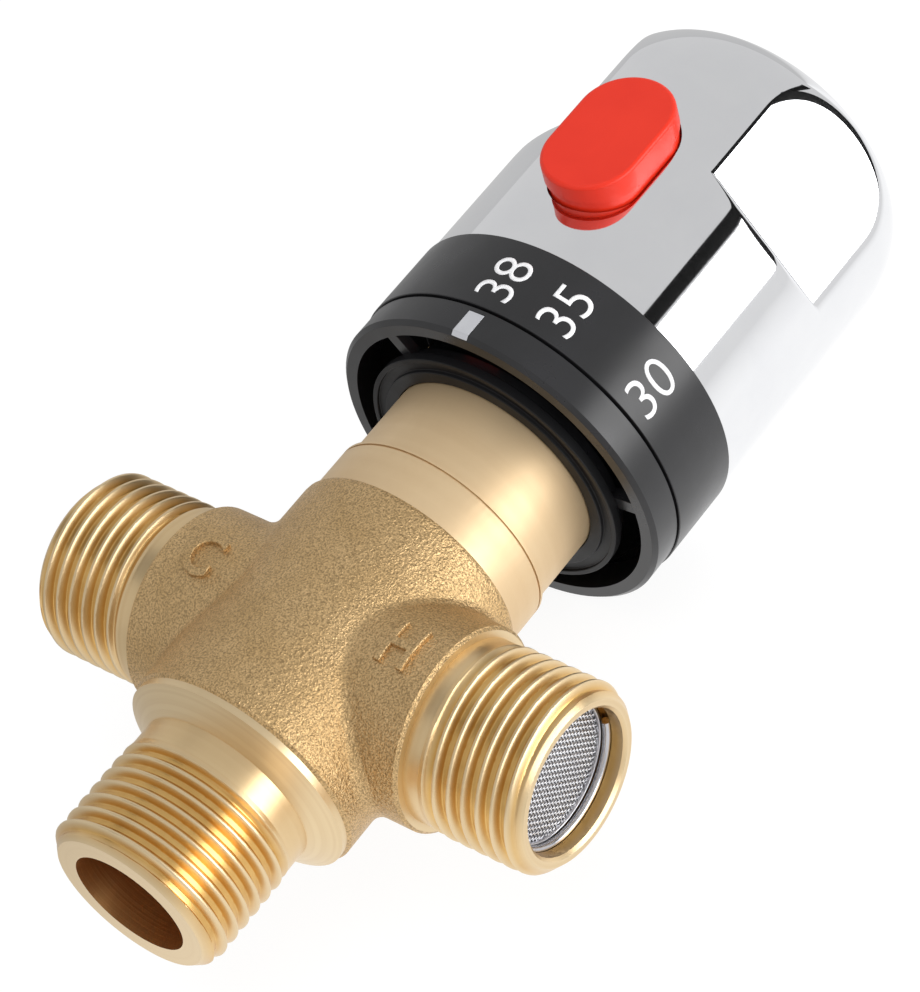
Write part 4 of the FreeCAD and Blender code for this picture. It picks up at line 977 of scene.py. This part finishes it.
# %% [markdown]
# ## Round wire: snap rings
#
# A snap ring is a length of round wire bent to a C and sprung into its groove. The tree bends
# an arc, gives it a round section and closes its ends, so the wire is truly round where the
# CAD has flat sides. The gap is turned in the groove, as it can be on a real valve, so it
# doesn't stand where the CAD's does.

# %% Snap rings from one tree
def make_bent_wire_tree():
    tree, start, end = geometry_tree("bent_wire", {
        "Radius": ("NodeSocketFloat", 8.0 * MM), "Wire radius": ("NodeSocketFloat", 0.5 * MM),
        "Start angle": ("NodeSocketFloat", 0.0), "Sweep": ("NodeSocketFloat", 5.0),
        "Finish": ("NodeSocketMaterial", None)})
    arc = node(tree, "GeometryNodeCurveArc", {"Resolution": 120, "Radius": start["Radius"],
                                              "Start Angle": start["Start angle"],
                                              "Sweep Angle": start["Sweep"]})
    section = node(tree, "GeometryNodeCurvePrimitiveCircle", {"Resolution": 16,
                                                              "Radius": start["Wire radius"]})
    wire = node(tree, "GeometryNodeCurveToMesh", {"Curve": arc.outputs[0],
                                                  "Profile Curve": section.outputs[0],
                                                  "Fill Caps": True})
    real = node(tree, "GeometryNodeRealizeInstances", {0: wire.outputs[0]})
    done = node(tree, "GeometryNodeSetMaterial", {"Geometry": real.outputs[0],
                                                  "Material": start["Finish"]})
    tree.links.new(done.outputs[0], end.inputs[0])
    return tree


bent_wire = make_bent_wire_tree()
CLIP_GAP, GAP_MIDDLE = radians(48), radians(21)
for name, _ in SIDES:
    low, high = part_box(name + "_retaining_clip")
    wire_r = (high.y - low.y) / 2
    ring_r = (high.x - low.x) / 2 - wire_r
    data = grown(bent_wire, name + "_clip", {
        "Radius": ring_r, "Wire radius": wire_r, "Start angle": GAP_MIDDLE + CLIP_GAP / 2,
        "Sweep": 2 * pi - CLIP_GAP, "Finish": STEEL})
    middle_y = (low.y + high.y) / 2
    data.transform(Matrix.Translation((INLET_X, middle_y, 0)) @ Matrix.Rotation(pi / 2, 4, "X"))
    data.shade_smooth()
    data.set_sharp_from_angle(angle=radians(50))
    add_piece(name + "_snap_ring", data, "fixed_body", [STEEL],
              replaces=[name + "_retaining_clip"])
    print(name, "snap ring radius", round(ring_r / MM, 2), "mm")

# %% [markdown]
# ## Finishes for the pieces inside
#
# The cartridge, springs, seals and check valves keep their CAD forms. Nothing of them shows
# unless the valve is opened, and each still gets the finish of its own material.

# %% Materials for the CAD nodes that stay
inside = {
    "cartridge_sleeve": BLACK_MATT, "mixing_shuttle": WHITE_PLASTIC, "wax_element": INNER_BRASS,
    "element_pin": STEEL, "overload_piston": STEEL, "pusher_cup": INNER_BRASS,
    "spindle": INNER_BRASS, "spindle_circlip": STEEL, "knob_screw": STEEL,
}
for node_name in frame["nodes"]:
    if "seal" in node_name:
        inside[node_name] = RUBBER
    elif "spring" in node_name:
        inside[node_name] = STEEL
    elif "check_housing" in node_name or "check_poppet" in node_name:
        inside[node_name] = BLACK_MATT
for node_name, material in inside.items():
    slots = frame["nodes"][node_name].data.materials
    slots.clear()
    slots.append(material)
print("CAD nodes with a finish of their own:", len(inside))

# %% [markdown]
# ## Studio
#
# The valve lies on a plain pale floor under large soft lamps. The floor is lifted to white only
# for what the camera and mirrors see, so the light on the object stays plain and its shadow
# stays on the floor. Chrome and turned brass show their surroundings, so they also need
# something dark to reflect. Three cards do it, which only reflections can see: a long narrow
# one over the hot side for the dark band along the knob, a small one for the knob's edge, and a
# dim one over the cold side that gives the threads their contrast.

# %% Floor
FLOOR_Z = min(corner[2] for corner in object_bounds()) - 0.1 * MM
FLOOR_SIZE = 6.0


def floor_glow(tree):
    """Share and strength of the glow: white for the camera; for mirrors it is greyer far from
    the valve and on the cold side, as a studio is. Plain light on the object gets none."""
    path = node(tree, "ShaderNodeLightPath").outputs
    place = node(tree, "ShaderNodeTexCoord").outputs["Object"]
    y = node(tree, "ShaderNodeSeparateXYZ", {0: place}).outputs["Y"]
    cold_side = node(tree, "ShaderNodeMapRange", {0: y, 1: 0.0, 2: 45 * MM, 3: 1.06, 4: 0.56})
    hot_side = node(tree, "ShaderNodeMapRange", {0: y, 1: -50 * MM, 2: -130 * MM, 3: 1.06,
                                                 4: 0.78})
    mirrored = math_node(tree, "MINIMUM", cold_side.outputs[0], hot_side.outputs[0])
    direct = math_node(tree, "MAXIMUM", path["Is Camera Ray"], path["Is Transmission Ray"])
    share = math_node(tree, "MAXIMUM", math_node(tree, "MULTIPLY", direct, 0.85),
                      math_node(tree, "MULTIPLY", path["Is Glossy Ray"], 0.97))
    strength = node(tree, "ShaderNodeMix", {0: path["Is Glossy Ray"], 2: 1.06, 3: mirrored},
                    data_type="FLOAT")
    return share, strength.outputs[0]


def sheet(name, width, depth, material):
    """A flat sheet about the origin with one material."""
    mesh = bmesh.new()
    bmesh.ops.create_grid(mesh, x_segments=1, y_segments=1, size=0.5)
    bmesh.ops.scale(mesh, vec=(width, depth, 1), verts=mesh.verts)
    item = bpy.data.objects.new(name, bpy.data.meshes.new(name))
    mesh.to_mesh(item.data)
    mesh.free()
    item.data.materials.append(material)
    return item


def make_floor():
    material = bpy.data.materials.new("pale_floor")
    material.use_nodes = True
    tree = material.node_tree
    tree.nodes.clear()
    paint = node(tree, "ShaderNodeBsdfDiffuse", {"Color": (0.9, 0.9, 0.9, 1)})
    share, strength = floor_glow(tree)
    glow = node(tree, "ShaderNodeEmission", {"Color": (1, 1, 1, 1), "Strength": strength})
    mixed = node(tree, "ShaderNodeMixShader", {0: share, 1: paint.outputs[0],
                                               2: glow.outputs[0]})
    out = node(tree, "ShaderNodeOutputMaterial")
    tree.links.new(mixed.outputs[0], out.inputs[0])
    floor = sheet("floor", FLOOR_SIZE, FLOOR_SIZE, material)
    floor.location.z = FLOOR_Z
    bpy.context.scene.collection.objects.link(floor)
    floor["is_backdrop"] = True


make_floor()
print("floor at", round(FLOOR_Z, 4))

# %% Lamps, dark cards and sky
VALVE_MIDDLE = Vector((60, 0, 0)) * MM


def aim(item, direction, distance):
    """Puts an item out along a direction from the valve, facing it, its length along X."""
    towards = Vector(direction).normalized()
    along = (Vector((1, 0, 0)) - towards * towards.x).normalized()
    turn = Matrix((along, towards.cross(along), towards)).transposed().to_4x4()
    item.matrix_world = Matrix.Translation(VALVE_MIDDLE + towards * distance) @ turn
    bpy.context.scene.collection.objects.link(item)


def soft_lamp(name, direction, distance, width, height, power, mirrored=True):
    lamp = bpy.data.lights.new(name, "AREA")
    lamp.shape = "RECTANGLE"
    lamp.size, lamp.size_y = width, height
    lamp.energy = power
    item = bpy.data.objects.new(name, lamp)
    item.visible_glossy = mirrored
    aim(item, direction, distance)


def card(name, tone, width, height):
    """A flat card of an even tone that only shows in reflections."""
    material, tree, shader = start_material(name, 0.0)
    cloud = use_group(tree, SMUDGES, Size=60 * MM)["Mask"]
    tree.links.new(mix_colours(tree, cloud, (tone, tone, tone, 1), (*[tone * 1.5] * 3, 1)),
                   shader.inputs["Base Color"])
    shader.inputs["Roughness"].default_value = 1.0
    shader.inputs["Specular IOR Level"].default_value = 0.0
    item = sheet(name, width, height, material)
    item.visible_camera = item.visible_diffuse = item.visible_shadow = False
    return item


soft_lamp("side_softbox", (0.30, -0.90, 0.27), 0.9, 1.4, 0.50, 8.5)
soft_lamp("top_softbox", (-0.1, 0.05, 1.0), 1.0, 0.9, 0.9, 3.5, mirrored=False)

band_card = card("band_card", 0.012, 1.6, 0.085)
aim(band_card, (0.438, -0.679, 0.586), 0.6)
thread_card = card("thread_card", 0.05, 0.5, 0.20)
aim(thread_card, (-0.15, 0.55, 0.78), 0.8)
edge_card = card("edge_card", 0.012, 0.15, 0.30)
edge_card.location = (0.455, -0.294, 0.12)
edge_card.rotation_euler = (pi / 2, 0, radians(52))
bpy.context.scene.collection.objects.link(edge_card)
for item in (band_card, thread_card, edge_card):
    item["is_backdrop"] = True


def make_sky():
    world = bpy.data.worlds.new("studio")
    bpy.context.scene.world = world
    world.use_nodes = True
    tree = world.node_tree
    tree.nodes.clear()
    path = node(tree, "ShaderNodeLightPath").outputs
    place = node(tree, "ShaderNodeTexCoord").outputs["Generated"]
    height = node(tree, "ShaderNodeSeparateXYZ", {0: place}).outputs["Z"]
    shade = node(tree, "ShaderNodeMapRange", {0: height, 1: -0.2, 2: 1.0, 3: 0.68, 4: 0.65})
    level = node(tree, "ShaderNodeMix", {0: path["Is Camera Ray"], 2: shade.outputs[0],
                                         3: 1.0}, data_type="FLOAT")
    back = node(tree, "ShaderNodeBackground", {"Color": (1, 1, 1, 1),
                                               "Strength": level.outputs[0]})
    out = node(tree, "ShaderNodeOutputWorld")
    tree.links.new(back.outputs[0], out.inputs[0])


make_sky()
bpy.context.scene.view_settings.view_transform = "Standard"
print("studio ready")
